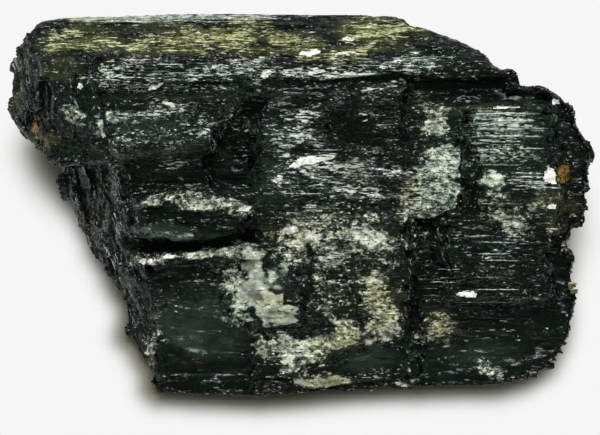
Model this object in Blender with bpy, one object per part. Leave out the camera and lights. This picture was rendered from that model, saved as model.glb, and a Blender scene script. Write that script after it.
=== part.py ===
# Black tourmaline (schorl) crystal fragment, broken from a thicker prism: one solid that lies on a
# flat fracture face. Metres, +Z up, origin at the middle of the bottom of its bounding box.
#
# The stone is drawn on its broad face. There u runs along the crystal's length (its c axis), v across
# the broad face and w straight out of it. The drawing is then tipped by FACE_TILT about u, so that u
# is the row's X, and the fracture face it lies on is z = 0. Tables are in millimetres (MM).

import math

import bmesh
import bpy
import numpy as np
from mathutils import Matrix, Vector, noise

MM = 0.001
FACE_TILT = math.radians(30)  # how far the broad face leans from level
FACE_LIFT = 15.0 * MM  # height of the drawing's origin above the resting face
FRONT_OF_DRAWING = 3.0 * MM
BACK_OF_DRAWING = -46.0 * MM

COARSE_VOXEL = 0.55 * MM
FINE_VOXEL = 0.45 * MM
MOST_TRIANGLES = 9600

# The silhouette on the broad face, from the upper left round by the right: (u, v).
OUTLINE = [
    (-37.4, 25.4), (-35.6, 27.0), (-32.9, 27.6), (-20.6, 28.1), (-6.2, 28.9), (5.5, 28.5), (13.7, 27.8),
    (15.1, 26.6), (17.8, 26.0), (21.9, 24.5), (24.4, 23.2), (26.0, 20.9), (27.9, 19.8), (29.5, 17.9),
    (31.5, 17.5), (32.9, 17.8), (34.0, 17.3), (35.9, 16.2), (37.3, 15.0), (37.9, 12.5), (38.9, 10.8),
    (40.2, 8.6), (39.5, 7.2), (39.3, 1.7), (38.5, -1.0), (36.7, -2.0), (36.1, -4.0), (37.2, -4.8),
    (37.5, -9.7), (38.1, -10.8), (37.2, -13.4), (36.9, -16.0), (35.7, -18.4), (33.7, -20.6),
    (30.8, -22.1), (26.7, -22.9), (16.4, -23.2), (6.9, -23.7), (-5.5, -24.4), (-13.7, -24.2),
    (-18.7, -23.9), (-19.9, -22.9), (-20.5, -21.0), (-21.6, -19.0), (-24.0, -16.1), (-24.4, -12.0),
    (-25.6, -9.7), (-27.8, -6.6), (-29.8, -4.5), (-31.7, -1.4), (-33.0, 2.0), (-33.5, 5.1),
    (-33.8, 7.2), (-35.0, 16.0),
]

# The knob that stands out past the left end, seen the same way.
KNOB_OUTLINE = [
    (-38.0, 23.9), (-37.5, 25.4), (-35.6, 27.0), (-32.9, 27.6), (-22.0, 28.0), (-22.0, 8.0),
    (-33.4, 7.0), (-34.9, 8.4), (-36.6, 9.9), (-38.5, 12.1), (-40.1, 14.6), (-40.7, 17.5),
    (-40.5, 21.0), (-39.7, 23.0),
]

# Faces that bound the stone on the drawing: (a point, the way the face looks), both as (u, v, w).
PRISM_FACES = {
    "broad_face": ((0, 0, 0), (0, 0, 1)),
    "upper_facet": ((0, 16.7, 0), (0, 0.34, 0.94)),
    "top_band": ((0, 21.5, -1.8), (0, 0.69, 0.72)),
}

KNOB_FACES = {
    "knob_bevel": ((-27.0, 15.0, 0), (-0.28, -0.05, 0.96)),
    "knob_end": ((-34.0, 15.0, -2.2), (-0.82, -0.08, 0.57)),
    "knob_underside": ((-40.5, 15.0, -14.5), (-0.42, -0.36, -0.83)),
}

# Fracture faces as they lie: (a point, the way the face looks), both as (x, y, z).
BREAK_FACES = {
    "left_break": ((-22.2, 0, 15.0), (-0.80, -0.42, 0.425)),
    "right_undercut": ((39.0, 0, 9.0), (0.90, 0.12, -0.42)),
    "right_back_corner": ((33.0, 26.5, 10.0), (0.62, 0.78, -0.10)),
    "base_left": ((-25.0, 5.0, 0), (-0.45, -0.10, -0.89)),
    "base_right": ((28.0, 0, 0), (0.25, -0.05, -0.97)),
}

BACK_FACES = {
    "back_upper": ((0, 29.7, 18.0), (0, 0.98, 0.20)),
    "back_lower": ((0, 30.2, 10.0), (0.05, 0.93, -0.36)),
    "left_back_corner": ((-33.0, 27.5, 10.0), (-0.48, 0.86, -0.15)),
    "base_back": ((0, 21.0, 0), (0.05, 0.28, -0.96)),
    "base": ((0, 0, -1.0), (0, 0, -1)),
}

# Plates and scars of the broad face: how far each stands out (+) or is sunk (-), how soft its edge is,
# and its outline (u, v). Where two lie over each other they add up.
PLATES = {
    "north_block": (1.7, 0.3, [(-27.4, 16.4), (-18.5, 16.8), (-7.5, 16.6), (-12.1, 12.0), (-13.0, 9.0),
                               (-24.7, 8.2), (-25.8, 9.2), (-26.9, 13.4)]),
    "groove_over_block": (-1.0, 0.4, [(-26.0, 18.0), (-6.9, 18.6), (-6.9, 16.8), (-27.4, 16.4)]),
    "deep_recess": (-3.0, 0.6, [(-7.3, 16.5), (-5.2, 16.1), (-6.0, 12.7), (-6.9, 3.8), (-11.6, 4.3),
                                (-13.0, 8.2), (-11.9, 11.9)]),
    "mid_left_low": (-1.4, 0.5, [(-24.9, 7.9), (-12.7, 8.3), (-11.5, 4.0), (-16.4, 3.8), (-24.7, 2.4)]),
    "splinter_ledge": (0.7, 0.3, [(-24.5, 1.8), (-17.5, 3.4), (-11.8, 3.9), (-7.0, 2.0), (-9.5, 0.4),
                                  (-16.0, 0.9)]),
    "upper_centre_low": (-1.3, 0.3, [(-5.2, 18.6), (13.7, 19.4), (16.4, 18.8), (6.9, 16.4), (0.0, 14.5),
                                     (-6.0, 12.7)]),
    "notch_centre": (-1.1, 0.4, [(4.1, 14.5), (13.7, 15.5), (14.4, 9.5), (6.2, 9.2), (4.1, 12.0)]),
    "shard": (1.4, 0.25, [(-23.7, -1.2), (-21.9, -0.6), (-17.1, -1.5), (-13.3, -2.4), (-14.4, -3.2),
                          (-19.2, -2.9), (-23.3, -1.8)]),
    "fissure": (-3.2, 0.4, [(-23.3, -2.9), (-13.7, -3.5), (-8.9, -2.5), (-6.6, 0.3), (-6.0, -3.1),
                            (-13.0, -4.3), (-22.3, -4.9)]),
    "white_ledge": (0.8, 0.3, [(-22.3, -6.1), (-21.2, -5.3), (-13.7, -4.5), (-5.2, -3.2), (-5.2, -6.1),
                               (-9.6, -5.8), (-16.4, -6.2), (-21.2, -6.6)]),
    "south_west_block": (-1.4, 0.4, [(-23.5, -6.6), (-6.9, -6.1), (-9.9, -11.3), (-6.4, -15.4),
                                     (-6.3, -26.0), (-23.5, -26.0)]),
    "quartz_mass": (0.9, 0.6, [(-8.9, -6.1), (-5.2, -3.4), (0.0, -4.5), (0.0, -14.7), (-5.8, -15.7),
                               (-10.3, -14.3)]),
    "centre_foot_low": (-0.7, 0.4, [(-6.0, -15.2), (0.6, -14.8), (6.4, -17.5), (14.6, -14.6),
                                    (14.6, -26.0), (-6.0, -26.0)]),
    "dark_shaft": (-2.8, 0.45, [(14.8, 0.2), (19.2, 0.5), (20.3, -3.1), (20.0, -11.3), (15.1, -11.6)]),
    "shaft_low": (-1.6, 0.45, [(14.4, -11.6), (16.4, -11.6), (17.0, -26.0), (14.4, -26.0)]),
    "brown_band": (-2.6, 0.5, [(14.4, 18.8), (27.4, 19.4), (33.6, 18.0), (34.0, 15.7), (20.6, 15.3),
                               (14.4, 15.8)]),
    "upright_gap": (-1.6, 0.4, [(22.2, 15.0), (23.6, 15.0), (23.8, 7.9), (24.7, 0.3), (21.9, 0.3),
                                (22.5, 7.9)]),
    "north_east_plateau": (0.7, 0.3, [(23.6, 15.3), (33.6, 15.5), (34.2, 9.2), (33.6, 2.4),
                                      (24.7, 1.7)]),
    "south_east_low": (-1.6, 0.4, [(15.1, -11.7), (41.0, -11.3), (41.0, -26.0), (16.4, -26.0)]),
    "right_rim": (-2.4, 1.0, [(34.5, 17.5), (42.0, 17.5), (42.0, -12.3), (35.6, -11.3), (34.0, -4.5),
                              (36.4, -1.7), (36.3, 6.5), (34.5, 10.6)]),
    "knob_step": (-1.5, 0.5, [(-37.4, 24.5), (-37.0, 20.0), (-36.6, 14.0), (-35.5, 8.0), (-43.0, 8.0),
                              (-43.0, 24.5)]),
}
RAGGED_EDGE = 0.55  # how far a plate's edge jumps along u from one splinter to the next
UNEVEN_EDGE = 0.25  # and how far it wanders besides

# What the whole surface is broken into: its height, and its size along x, y and z.
WAVES = (0.5, (20, 10, 10))
SHEETS = (0.15, (24, 7.5, 7.5))
RIBS = (0.10, (60, 1.9, 1.9))
SPLINTERS = (0.17, (13, 2.4, 2.4))
FIBRE_ENDS = (0.6, (200, 4.5, 4.5))  # only on the surfaces that look along x


def face_to_row():
    """The drawing's (u, v, w) to the row's (x, y, z)."""
    return Matrix.Translation((0, 0, FACE_LIFT)) @ Matrix.Rotation(FACE_TILT, 4, "X")


def outline_block(outline):
    """A closed block with this outline, drawn through the whole depth of the stone."""
    bm = bmesh.new()
    front = bm.faces.new([bm.verts.new((u * MM, v * MM, FRONT_OF_DRAWING)) for u, v in outline])
    front.normal_update()
    if front.normal.z < 0:
        front.normal_flip()
    made = bmesh.ops.extrude_face_region(bm, geom=[front], use_keep_orig=True)
    moved = [g for g in made["geom"] if isinstance(g, bmesh.types.BMVert)]
    bmesh.ops.translate(bm, vec=(0, 0, BACK_OF_DRAWING - FRONT_OF_DRAWING), verts=moved)
    bmesh.ops.recalc_face_normals(bm, faces=bm.faces)
    return bm


def cut(bm, point, normal):
    """Cuts the block at a plane, drops what is in front of it and closes the cut."""
    bmesh.ops.bisect_plane(
        bm,
        geom=[*bm.verts, *bm.edges, *bm.faces],
        dist=1e-7,
        plane_co=Vector(point) * MM,
        plane_no=Vector(normal).normalized(),
        clear_outer=True,
    )
    bmesh.ops.holes_fill(bm, edges=[e for e in bm.edges if e.is_boundary], sides=0)


def object_from(bm, name):
    mesh = bpy.data.meshes.new(name)
    bm.to_mesh(mesh)
    bm.free()
    obj = bpy.data.objects.new(name, mesh)
    bpy.context.scene.collection.objects.link(obj)
    return obj


def broken_block(name, outline, drawn_faces, row_faces):
    """An outline block, cut by its faces, in the row frame."""
    bm = outline_block(outline)
    for point, normal in drawn_faces.values():
        cut(bm, point, normal)
    bmesh.ops.transform(bm, matrix=face_to_row(), verts=bm.verts)
    for point, normal in row_faces.values():
        cut(bm, point, normal)
    bmesh.ops.triangulate(bm, faces=bm.faces)
    return object_from(bm, name)


def apply_modifiers(obj):
    """Makes the mesh that the modifiers give the object's own."""
    graph = bpy.context.evaluated_depsgraph_get()
    made = bpy.data.meshes.new_from_object(obj.evaluated_get(graph))
    obj.modifiers.clear()
    old, obj.data = obj.data, made
    bpy.data.meshes.remove(old)


def join(obj, other):
    union = obj.modifiers.new("Union", "BOOLEAN")
    union.operation = "UNION"
    union.object = other
    apply_modifiers(obj)
    bpy.data.objects.remove(other)


def remesh(obj, voxel):
    even = obj.modifiers.new("Remesh", "REMESH")
    even.mode = "VOXEL"
    even.voxel_size = voxel
    apply_modifiers(obj)


def points_and_normals(obj):
    mesh = obj.data
    points = np.empty(len(mesh.vertices) * 3)
    mesh.vertices.foreach_get("co", points)
    normals = np.empty(len(mesh.vertices) * 3)
    mesh.vertex_normals.foreach_get("vector", normals)
    return points.reshape(-1, 3), normals.reshape(-1, 3)


def set_points(obj, points):
    obj.data.vertices.foreach_set("co", points.ravel())
    obj.data.update()


def smoothstep(low, high, values):
    t = np.clip((values - low) / (high - low), 0, 1)
    return t * t * (3 - 2 * t)


def signed_distance(points, outline):
    """How far each 2D point is inside (+) or outside (-) a closed outline."""
    corners = np.array(outline)
    following = np.roll(corners, -1, axis=0)
    nearest = np.full(len(points), np.inf)
    inside = np.zeros(len(points), bool)
    for a, b in zip(corners, following):
        along = b - a
        t = np.clip((points - a) @ along / (along @ along), 0, 1)
        nearest = np.minimum(nearest, np.linalg.norm(points - a - t[:, None] * along, axis=1))
        crosses = (a[1] > points[:, 1]) != (b[1] > points[:, 1])
        if a[1] != b[1]:
            at = a[0] + (points[:, 1] - a[1]) * (b[0] - a[0]) / (b[1] - a[1])
            inside ^= crosses & (points[:, 0] < at)
    return np.where(inside, nearest, -nearest)


def ripple(points, layer, seed):
    """A smoothly rising and falling height."""
    height, size = layer
    shifted = points / (np.array(size) * MM) + seed
    return height * np.array([noise.noise(p) for p in shifted])


def laths(points, layer, seed):
    """A height for each splinter of a fibrous break: long cells, each flat on top."""
    height, size = layer
    shifted = points / (np.array(size) * MM) + seed
    return height * np.array([noise.cell(noise.voronoi(p)[1][0] * 41.7) for p in shifted])


def carve_plates(obj):
    """Raises and sinks the plates of the broad face."""
    to_row = face_to_row()
    to_drawing = np.array(to_row.inverted())
    points, normals = points_and_normals(obj)
    drawn = points @ to_drawing[:3, :3].T + to_drawing[:3, 3]
    facing = smoothstep(0.35, 0.8, normals @ to_drawing[2, :3])
    across = drawn[:, :2] / MM
    across[:, 0] += laths(drawn, (RAGGED_EDGE, (9, 0.9, 50)), 3.1)
    across += ripple(drawn, (UNEVEN_EDGE, (1.6, 1.6, 50)), 7.7)[:, None]
    rise = np.zeros(len(points))
    for height, softness, outline in PLATES.values():
        rise += height * smoothstep(-softness, softness, signed_distance(across, outline))
    out = np.array(to_row.to_3x3() @ Vector((0, 0, 1)))
    set_points(obj, points + (rise * facing * MM)[:, None] * out)


def roughen(obj):
    """Undulation, prism striation in long splinters, and the stepped ends of the fibres."""
    points, normals = points_and_normals(obj)
    end_on = smoothstep(0.45, 0.85, np.abs(normals[:, 0]))
    rise = ripple(points, WAVES, 1.3)
    rise += laths(points, SHEETS, 51.0)
    rise += laths(points, RIBS, 17.0)
    rise += laths(points, SPLINTERS, 11.0)
    rise += laths(points, FIBRE_ENDS, 41.0) * end_on
    set_points(obj, points + (rise * MM)[:, None] * normals)


def decimate(obj, most):
    triangles = sum(len(p.vertices) - 2 for p in obj.data.polygons)
    fewer = obj.modifiers.new("Decimate", "DECIMATE")
    fewer.ratio = most / triangles
    apply_modifiers(obj)


def keep_largest_piece(bm):
    """Drops the crumbs that carving leaves loose."""
    unseen = set(bm.verts)
    pieces = []
    while unseen:
        piece = []
        reached = [unseen.pop()]
        while reached:
            vertex = reached.pop()
            piece.append(vertex)
            near = {edge.other_vert(vertex) for edge in vertex.link_edges} & unseen
            unseen -= near
            reached.extend(near)
        pieces.append(piece)
    pieces.sort(key=len)
    bmesh.ops.delete(bm, geom=[vertex for piece in pieces[:-1] for vertex in piece], context="VERTS")


def level_base(obj):
    """Cuts the stone flat where it lies."""
    bm = bmesh.new()
    bm.from_mesh(obj.data)
    cut(bm, (0, 0, 0), (0, 0, -1))
    keep_largest_piece(bm)
    bmesh.ops.dissolve_degenerate(bm, dist=1e-6, edges=bm.edges)
    bmesh.ops.triangulate(bm, faces=bm.faces)
    bm.to_mesh(obj.data)
    bm.free()


def centre(obj):
    """Puts the row's origin under the middle of the stone's box."""
    points, _ = points_and_normals(obj)
    middle = (points.min(axis=0) + points.max(axis=0)) / 2
    middle[2] = points[:, 2].min()
    set_points(obj, points - middle)
    print("drawing origin moved by", -middle)


def schorl():
    material = bpy.data.materials.new("schorl")
    material.use_nodes = True
    shader = material.node_tree.nodes["Principled BSDF"]
    shader.inputs["Base Color"].default_value = (0.012, 0.016, 0.016, 1)
    shader.inputs["Roughness"].default_value = 0.32
    shader.inputs["Metallic"].default_value = 0.0
    shader.inputs["IOR"].default_value = 1.65
    return material


def main():
    for obj in list(bpy.data.objects):
        bpy.data.objects.remove(obj)
    stone = broken_block("tourmaline_crystal", OUTLINE, PRISM_FACES, BREAK_FACES | BACK_FACES)
    knob = broken_block("knob", KNOB_OUTLINE, PRISM_FACES | KNOB_FACES, BACK_FACES)
    join(stone, knob)
    remesh(stone, COARSE_VOXEL)
    carve_plates(stone)
    remesh(stone, FINE_VOXEL)
    roughen(stone)
    decimate(stone, MOST_TRIANGLES)
    level_base(stone)
    centre(stone)
    stone.data.materials.append(schorl())


main()
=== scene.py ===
import math

import bmesh
import bpy
import numpy as np
from mathutils import Matrix, Vector, noise
from mathutils.bvhtree import BVHTree


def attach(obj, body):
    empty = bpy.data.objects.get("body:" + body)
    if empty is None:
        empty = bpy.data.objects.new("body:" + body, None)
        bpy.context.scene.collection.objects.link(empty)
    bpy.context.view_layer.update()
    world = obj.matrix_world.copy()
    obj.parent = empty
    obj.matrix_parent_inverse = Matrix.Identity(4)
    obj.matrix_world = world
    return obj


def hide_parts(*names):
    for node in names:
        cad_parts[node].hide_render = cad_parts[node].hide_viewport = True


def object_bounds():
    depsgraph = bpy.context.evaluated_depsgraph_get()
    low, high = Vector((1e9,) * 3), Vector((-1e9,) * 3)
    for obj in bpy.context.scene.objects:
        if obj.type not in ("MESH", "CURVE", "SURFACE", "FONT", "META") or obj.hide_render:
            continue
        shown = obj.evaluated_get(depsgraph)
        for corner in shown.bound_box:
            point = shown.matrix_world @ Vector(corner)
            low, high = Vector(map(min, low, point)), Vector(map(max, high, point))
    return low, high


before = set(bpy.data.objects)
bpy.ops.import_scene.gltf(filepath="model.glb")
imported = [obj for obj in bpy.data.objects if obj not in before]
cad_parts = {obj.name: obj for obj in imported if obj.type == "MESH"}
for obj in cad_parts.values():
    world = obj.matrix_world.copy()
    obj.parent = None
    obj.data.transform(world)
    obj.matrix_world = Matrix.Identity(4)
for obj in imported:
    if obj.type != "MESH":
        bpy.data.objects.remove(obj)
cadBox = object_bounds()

mm = 0.001
stoneNode = "tourmaline_crystal"

# The stone is drawn on its broad face: u runs along the crystal's length, v across the face and w out
# of it. Tipped by tilt and raised by lift, u is x and the stone lies on z = 0. Tables are in mm.
drawing = {"tilt": 30, "lift": 15, "front": 3, "back": -46}

# The silhouette on the broad face, from the upper left round by the right: (u, v).
outline = [
    (-37.4, 25.4), (-35.6, 27.0), (-32.9, 27.6), (-20.6, 28.1), (-6.2, 28.9), (5.5, 28.5), (13.7, 27.8),
    (15.1, 26.6), (17.8, 26.0), (21.9, 24.5), (24.4, 23.2), (26.0, 20.9), (27.9, 19.8), (29.5, 17.9),
    (31.5, 17.5), (32.9, 17.8), (34.0, 17.3), (35.9, 16.2), (37.3, 15.0), (37.9, 12.5), (38.9, 10.8),
    (40.2, 8.6), (39.5, 7.2), (39.3, 1.7), (38.5, -1.0), (36.7, -2.0), (36.1, -4.0), (37.2, -4.8),
    (37.5, -9.7), (38.1, -10.8), (37.2, -13.4), (36.9, -16.0), (35.7, -18.4), (33.7, -20.6),
    (30.8, -22.1), (26.7, -22.9), (16.4, -23.2), (6.9, -23.7), (-5.5, -24.4), (-13.7, -24.2),
    (-18.7, -23.9), (-19.9, -22.9), (-20.5, -21.0), (-21.6, -19.0), (-24.0, -16.1), (-24.4, -12.0),
    (-25.6, -9.7), (-27.8, -6.6), (-29.8, -4.5), (-31.7, -1.4), (-33.0, 2.0), (-33.5, 5.1),
    (-33.8, 7.2), (-35.0, 16.0),
]

# The knob that stands out past the left end, seen the same way.
knobOutline = [
    (-38.0, 23.9), (-37.5, 25.4), (-35.6, 27.0), (-32.9, 27.6), (-22.0, 28.0), (-22.0, 8.0),
    (-33.4, 7.0), (-34.9, 8.4), (-36.6, 9.9), (-38.5, 12.1), (-40.1, 14.6), (-40.7, 17.5),
    (-40.5, 21.0), (-39.7, 23.0),
]

# Faces that bound the stone on the drawing: (a point, the way the face looks), both as (u, v, w).
prismFaces = {
    "broadFace": ((0, 0, 0), (0, 0, 1)),
    "upperFacet": ((0, 16.7, 0), (0, 0.34, 0.94)),
    "topBand": ((0, 21.5, -1.8), (0, 0.69, 0.72)),
}

knobFaces = {
    "knobBevel": ((-27.0, 15.0, 0), (-0.28, -0.05, 0.96)),
    "knobEnd": ((-34.0, 15.0, -2.2), (-0.82, -0.08, 0.57)),
    "knobUnderside": ((-40.5, 15.0, -14.5), (-0.42, -0.36, -0.83)),
}

# Fracture faces as they lie: (a point, the way the face looks), both as (x, y, z).
breakFaces = {
    "leftBreak": ((-22.2, 0, 15.0), (-0.80, -0.42, 0.425)),
    "rightUndercut": ((39.0, 0, 9.0), (0.90, 0.12, -0.42)),
    "rightBackCorner": ((33.0, 26.5, 10.0), (0.62, 0.78, -0.10)),
    "baseLeft": ((-25.0, 5.0, 0), (-0.45, -0.10, -0.89)),
    "baseRight": ((28.0, 0, 0), (0.25, -0.05, -0.97)),
}

backFaces = {
    "backUpper": ((0, 29.7, 18.0), (0, 0.98, 0.20)),
    "backLower": ((0, 30.2, 10.0), (0.05, 0.93, -0.36)),
    "leftBackCorner": ((-33.0, 27.5, 10.0), (-0.48, 0.86, -0.15)),
    "baseBack": ((0, 21.0, 0), (0.05, 0.28, -0.96)),
    "base": ((0, 0, -1.0), (0, 0, -1)),
}

# Plates and scars of the broad face: how far each stands out (+) or is sunk (-), how soft its edge is,
# and its outline (u, v). Where two lie over each other they add up.
plates = {
    "northBlock": (1.7, 0.3, [(-27.4, 16.4), (-18.5, 16.8), (-7.5, 16.6), (-12.1, 12.0), (-13.0, 9.0),
                               (-24.7, 8.2), (-25.8, 9.2), (-26.9, 13.4)]),
    "grooveOverBlock": (-1.0, 0.4, [(-26.0, 18.0), (-6.9, 18.6), (-6.9, 16.8), (-27.4, 16.4)]),
    "deepRecess": (-3.0, 0.6, [(-7.3, 16.5), (-5.2, 16.1), (-6.0, 12.7), (-6.9, 3.8), (-11.6, 4.3),
                                (-13.0, 8.2), (-11.9, 11.9)]),
    "midLeftLow": (-1.4, 0.5, [(-24.9, 7.9), (-12.7, 8.3), (-11.5, 4.0), (-16.4, 3.8), (-24.7, 2.4)]),
    "splinterLedge": (0.7, 0.3, [(-24.5, 1.8), (-17.5, 3.4), (-11.8, 3.9), (-7.0, 2.0), (-9.5, 0.4),
                                  (-16.0, 0.9)]),
    "upperCentreLow": (-1.3, 0.3, [(-5.2, 18.6), (13.7, 19.4), (16.4, 18.8), (6.9, 16.4), (0.0, 14.5),
                                     (-6.0, 12.7)]),
    "notchCentre": (-1.1, 0.4, [(4.1, 14.5), (13.7, 15.5), (14.4, 9.5), (6.2, 9.2), (4.1, 12.0)]),
    "shard": (1.4, 0.25, [(-23.7, -1.2), (-21.9, -0.6), (-17.1, -1.5), (-13.3, -2.4), (-14.4, -3.2),
                          (-19.2, -2.9), (-23.3, -1.8)]),
    "fissure": (-3.2, 0.4, [(-23.3, -2.9), (-13.7, -3.5), (-8.9, -2.5), (-6.6, 0.3), (-6.0, -3.1),
                            (-13.0, -4.3), (-22.3, -4.9)]),
    "whiteLedge": (0.8, 0.3, [(-22.3, -6.1), (-21.2, -5.3), (-13.7, -4.5), (-5.2, -3.2), (-5.2, -6.1),
                               (-9.6, -5.8), (-16.4, -6.2), (-21.2, -6.6)]),
    "southWestBlock": (-1.4, 0.4, [(-23.5, -6.6), (-6.9, -6.1), (-9.9, -11.3), (-6.4, -15.4),
                                     (-6.3, -26.0), (-23.5, -26.0)]),
    "quartzMass": (0.9, 0.6, [(-8.9, -6.1), (-5.2, -3.4), (0.0, -4.5), (0.0, -14.7), (-5.8, -15.7),
                               (-10.3, -14.3)]),
    "centreFootLow": (-0.7, 0.4, [(-6.0, -15.2), (0.6, -14.8), (6.4, -17.5), (14.6, -14.6),
                                    (14.6, -26.0), (-6.0, -26.0)]),
    "darkShaft": (-2.8, 0.45, [(14.8, 0.2), (19.2, 0.5), (20.3, -3.1), (20.0, -11.3), (15.1, -11.6)]),
    "shaftLow": (-1.6, 0.45, [(14.4, -11.6), (16.4, -11.6), (17.0, -26.0), (14.4, -26.0)]),
    "brownBand": (-2.6, 0.5, [(14.4, 18.8), (27.4, 19.4), (33.6, 18.0), (34.0, 15.7), (20.6, 15.3),
                               (14.4, 15.8)]),
    "uprightGap": (-1.6, 0.4, [(22.2, 15.0), (23.6, 15.0), (23.8, 7.9), (24.7, 0.3), (21.9, 0.3),
                                (22.5, 7.9)]),
    "northEastPlateau": (0.7, 0.3, [(23.6, 15.3), (33.6, 15.5), (34.2, 9.2), (33.6, 2.4),
                                      (24.7, 1.7)]),
    "southEastLow": (-1.6, 0.4, [(15.1, -11.7), (41.0, -11.3), (41.0, -26.0), (16.4, -26.0)]),
    "rightRim": (-2.4, 1.0, [(34.5, 17.5), (42.0, 17.5), (42.0, -12.3), (35.6, -11.3), (34.0, -4.5),
                              (36.4, -1.7), (36.3, 6.5), (34.5, 10.6)]),
    "knobStep": (-1.5, 0.5, [(-37.4, 24.5), (-37.0, 20.0), (-36.6, 14.0), (-35.5, 8.0), (-43.0, 8.0),
                              (-43.0, 24.5)]),
}

# What roughens a surface comes in layers: (height in mm, its size along x, y and z in mm).
raggedEdge = (0.55, (9, 0.9, 50))  # how far a plate's edge jumps along u from one splinter to the next
unevenEdge = (0.25, (1.6, 1.6, 50))  # how far it wanders besides; these three are sized along u, v and w
crackWander = (0.25, (1.3, 1.3, 50))  # how far a crack wanders

# What the whole surface is broken into.
waves = (0.5, (20, 10, 10))
sheets = (0.15, (24, 7.5, 7.5))
ribs = (0.10, (60, 1.9, 1.9))
splinters = (0.17, (13, 2.4, 2.4))

# Only on the ends, which look along x; the last two are sized along u, v and w.
fibreEnds = (0.6, (200, 4.5, 4.5))
fibreTips = (0.05, (200, 2.4, 1.1))
endGrooves = (0.20, (200, 5.0, 0.9))
endPlates = (0.6, (200, 8.0, 2.2))

# Fine relief.
striae = (0.07, (40, 0.85, 0.85))
hairs = (0.05, (14, 0.5, 0.5))
chips = (0.07, (2.4, 0.9, 0.9))
grit = (0.05, (0.7, 0.45, 0.45))

# Only where the broad face is snapped off (sized along u, v and w), on the crust and on the mica.
brokenColumns = (0.55, (1.6, 7.0, 50))
crustBumps = (0.26, (1.1, 0.8, 0.8))
crustGrit = (0.14, (0.5, 0.4, 0.4))
micaLeaves = (0.28, (5, 0.9, 0.9))
micaEdges = (0.14, (1.6, 0.45, 0.45))

stoneShape = {
    "coarseVoxel": 0.40,  # mm, before the plates are carved
    "fineVoxel": 0.24,  # mm, before the surface is broken up
    "mostTriangles": 196000,
    "carvedFacing": (0.35, 0.8),  # cosines to the broad face between which the carving starts
    "shellBowl": 0.6,  # how steep a shell's rim is: 1 is a parabola, less is steeper
    "crackFloor": 0.3,  # share of a crack's width at full depth
    "endOn": (0.45, 0.85),  # cosines to x between which a surface starts to count as an end
    "longFine": (1, 0.5),  # share of striae and hairs on the sides, and how much less it is on the ends
    "shortFine": (0.5, 0.4),  # the same for chips and grit
    "calmed": 0.8,  # share of the fine relief that calm patches lose
    "snapped": 0.7,  # and that snapped-off surfaces lose
    "sharpAngle": 28,  # degrees between two triangles from where their edge shows sharp
    "columnSlant": 0.4,  # how far the broken columns lean, along u for each mm of v
}

# Conchoidal hollows in the drawn face, or bumps where the depth is below 0:
# (u, v, half length, half width, depth).
shells = {
    "panel": (-13.4, -14.6, 5.2, 4.2, 0.8),
    "panelWest": (-17.6, -9.6, 3.4, 2.2, 0.4),
    "foot": (9.6, -20.2, 4.6, 2.2, 0.6),
    "footEast": (24.7, -18.4, 6.2, 3.1, 0.6),
    "footFarEast": (33.0, -14.5, 3.6, 3.4, 0.5),
    "niche": (-8.5, 11.3, 3.0, 5.0, 0.7),
    "nicheTop": (-6.2, 16.4, 3.8, 1.6, 0.5),
    "quartzGreen": (-5.8, -9.0, 1.6, 3.4, -0.25),
    "quartzBlue": (-3.2, -8.4, 2.2, 2.2, -0.15),
    "quartzCream": (-3.6, -13.2, 2.6, 2.2, -0.25),
    "toeLens": (2.9, -22.6, 3.2, 0.9, -0.3),
    "heap": (22.6, -10.6, 2.0, 0.9, -0.4),
}

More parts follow.
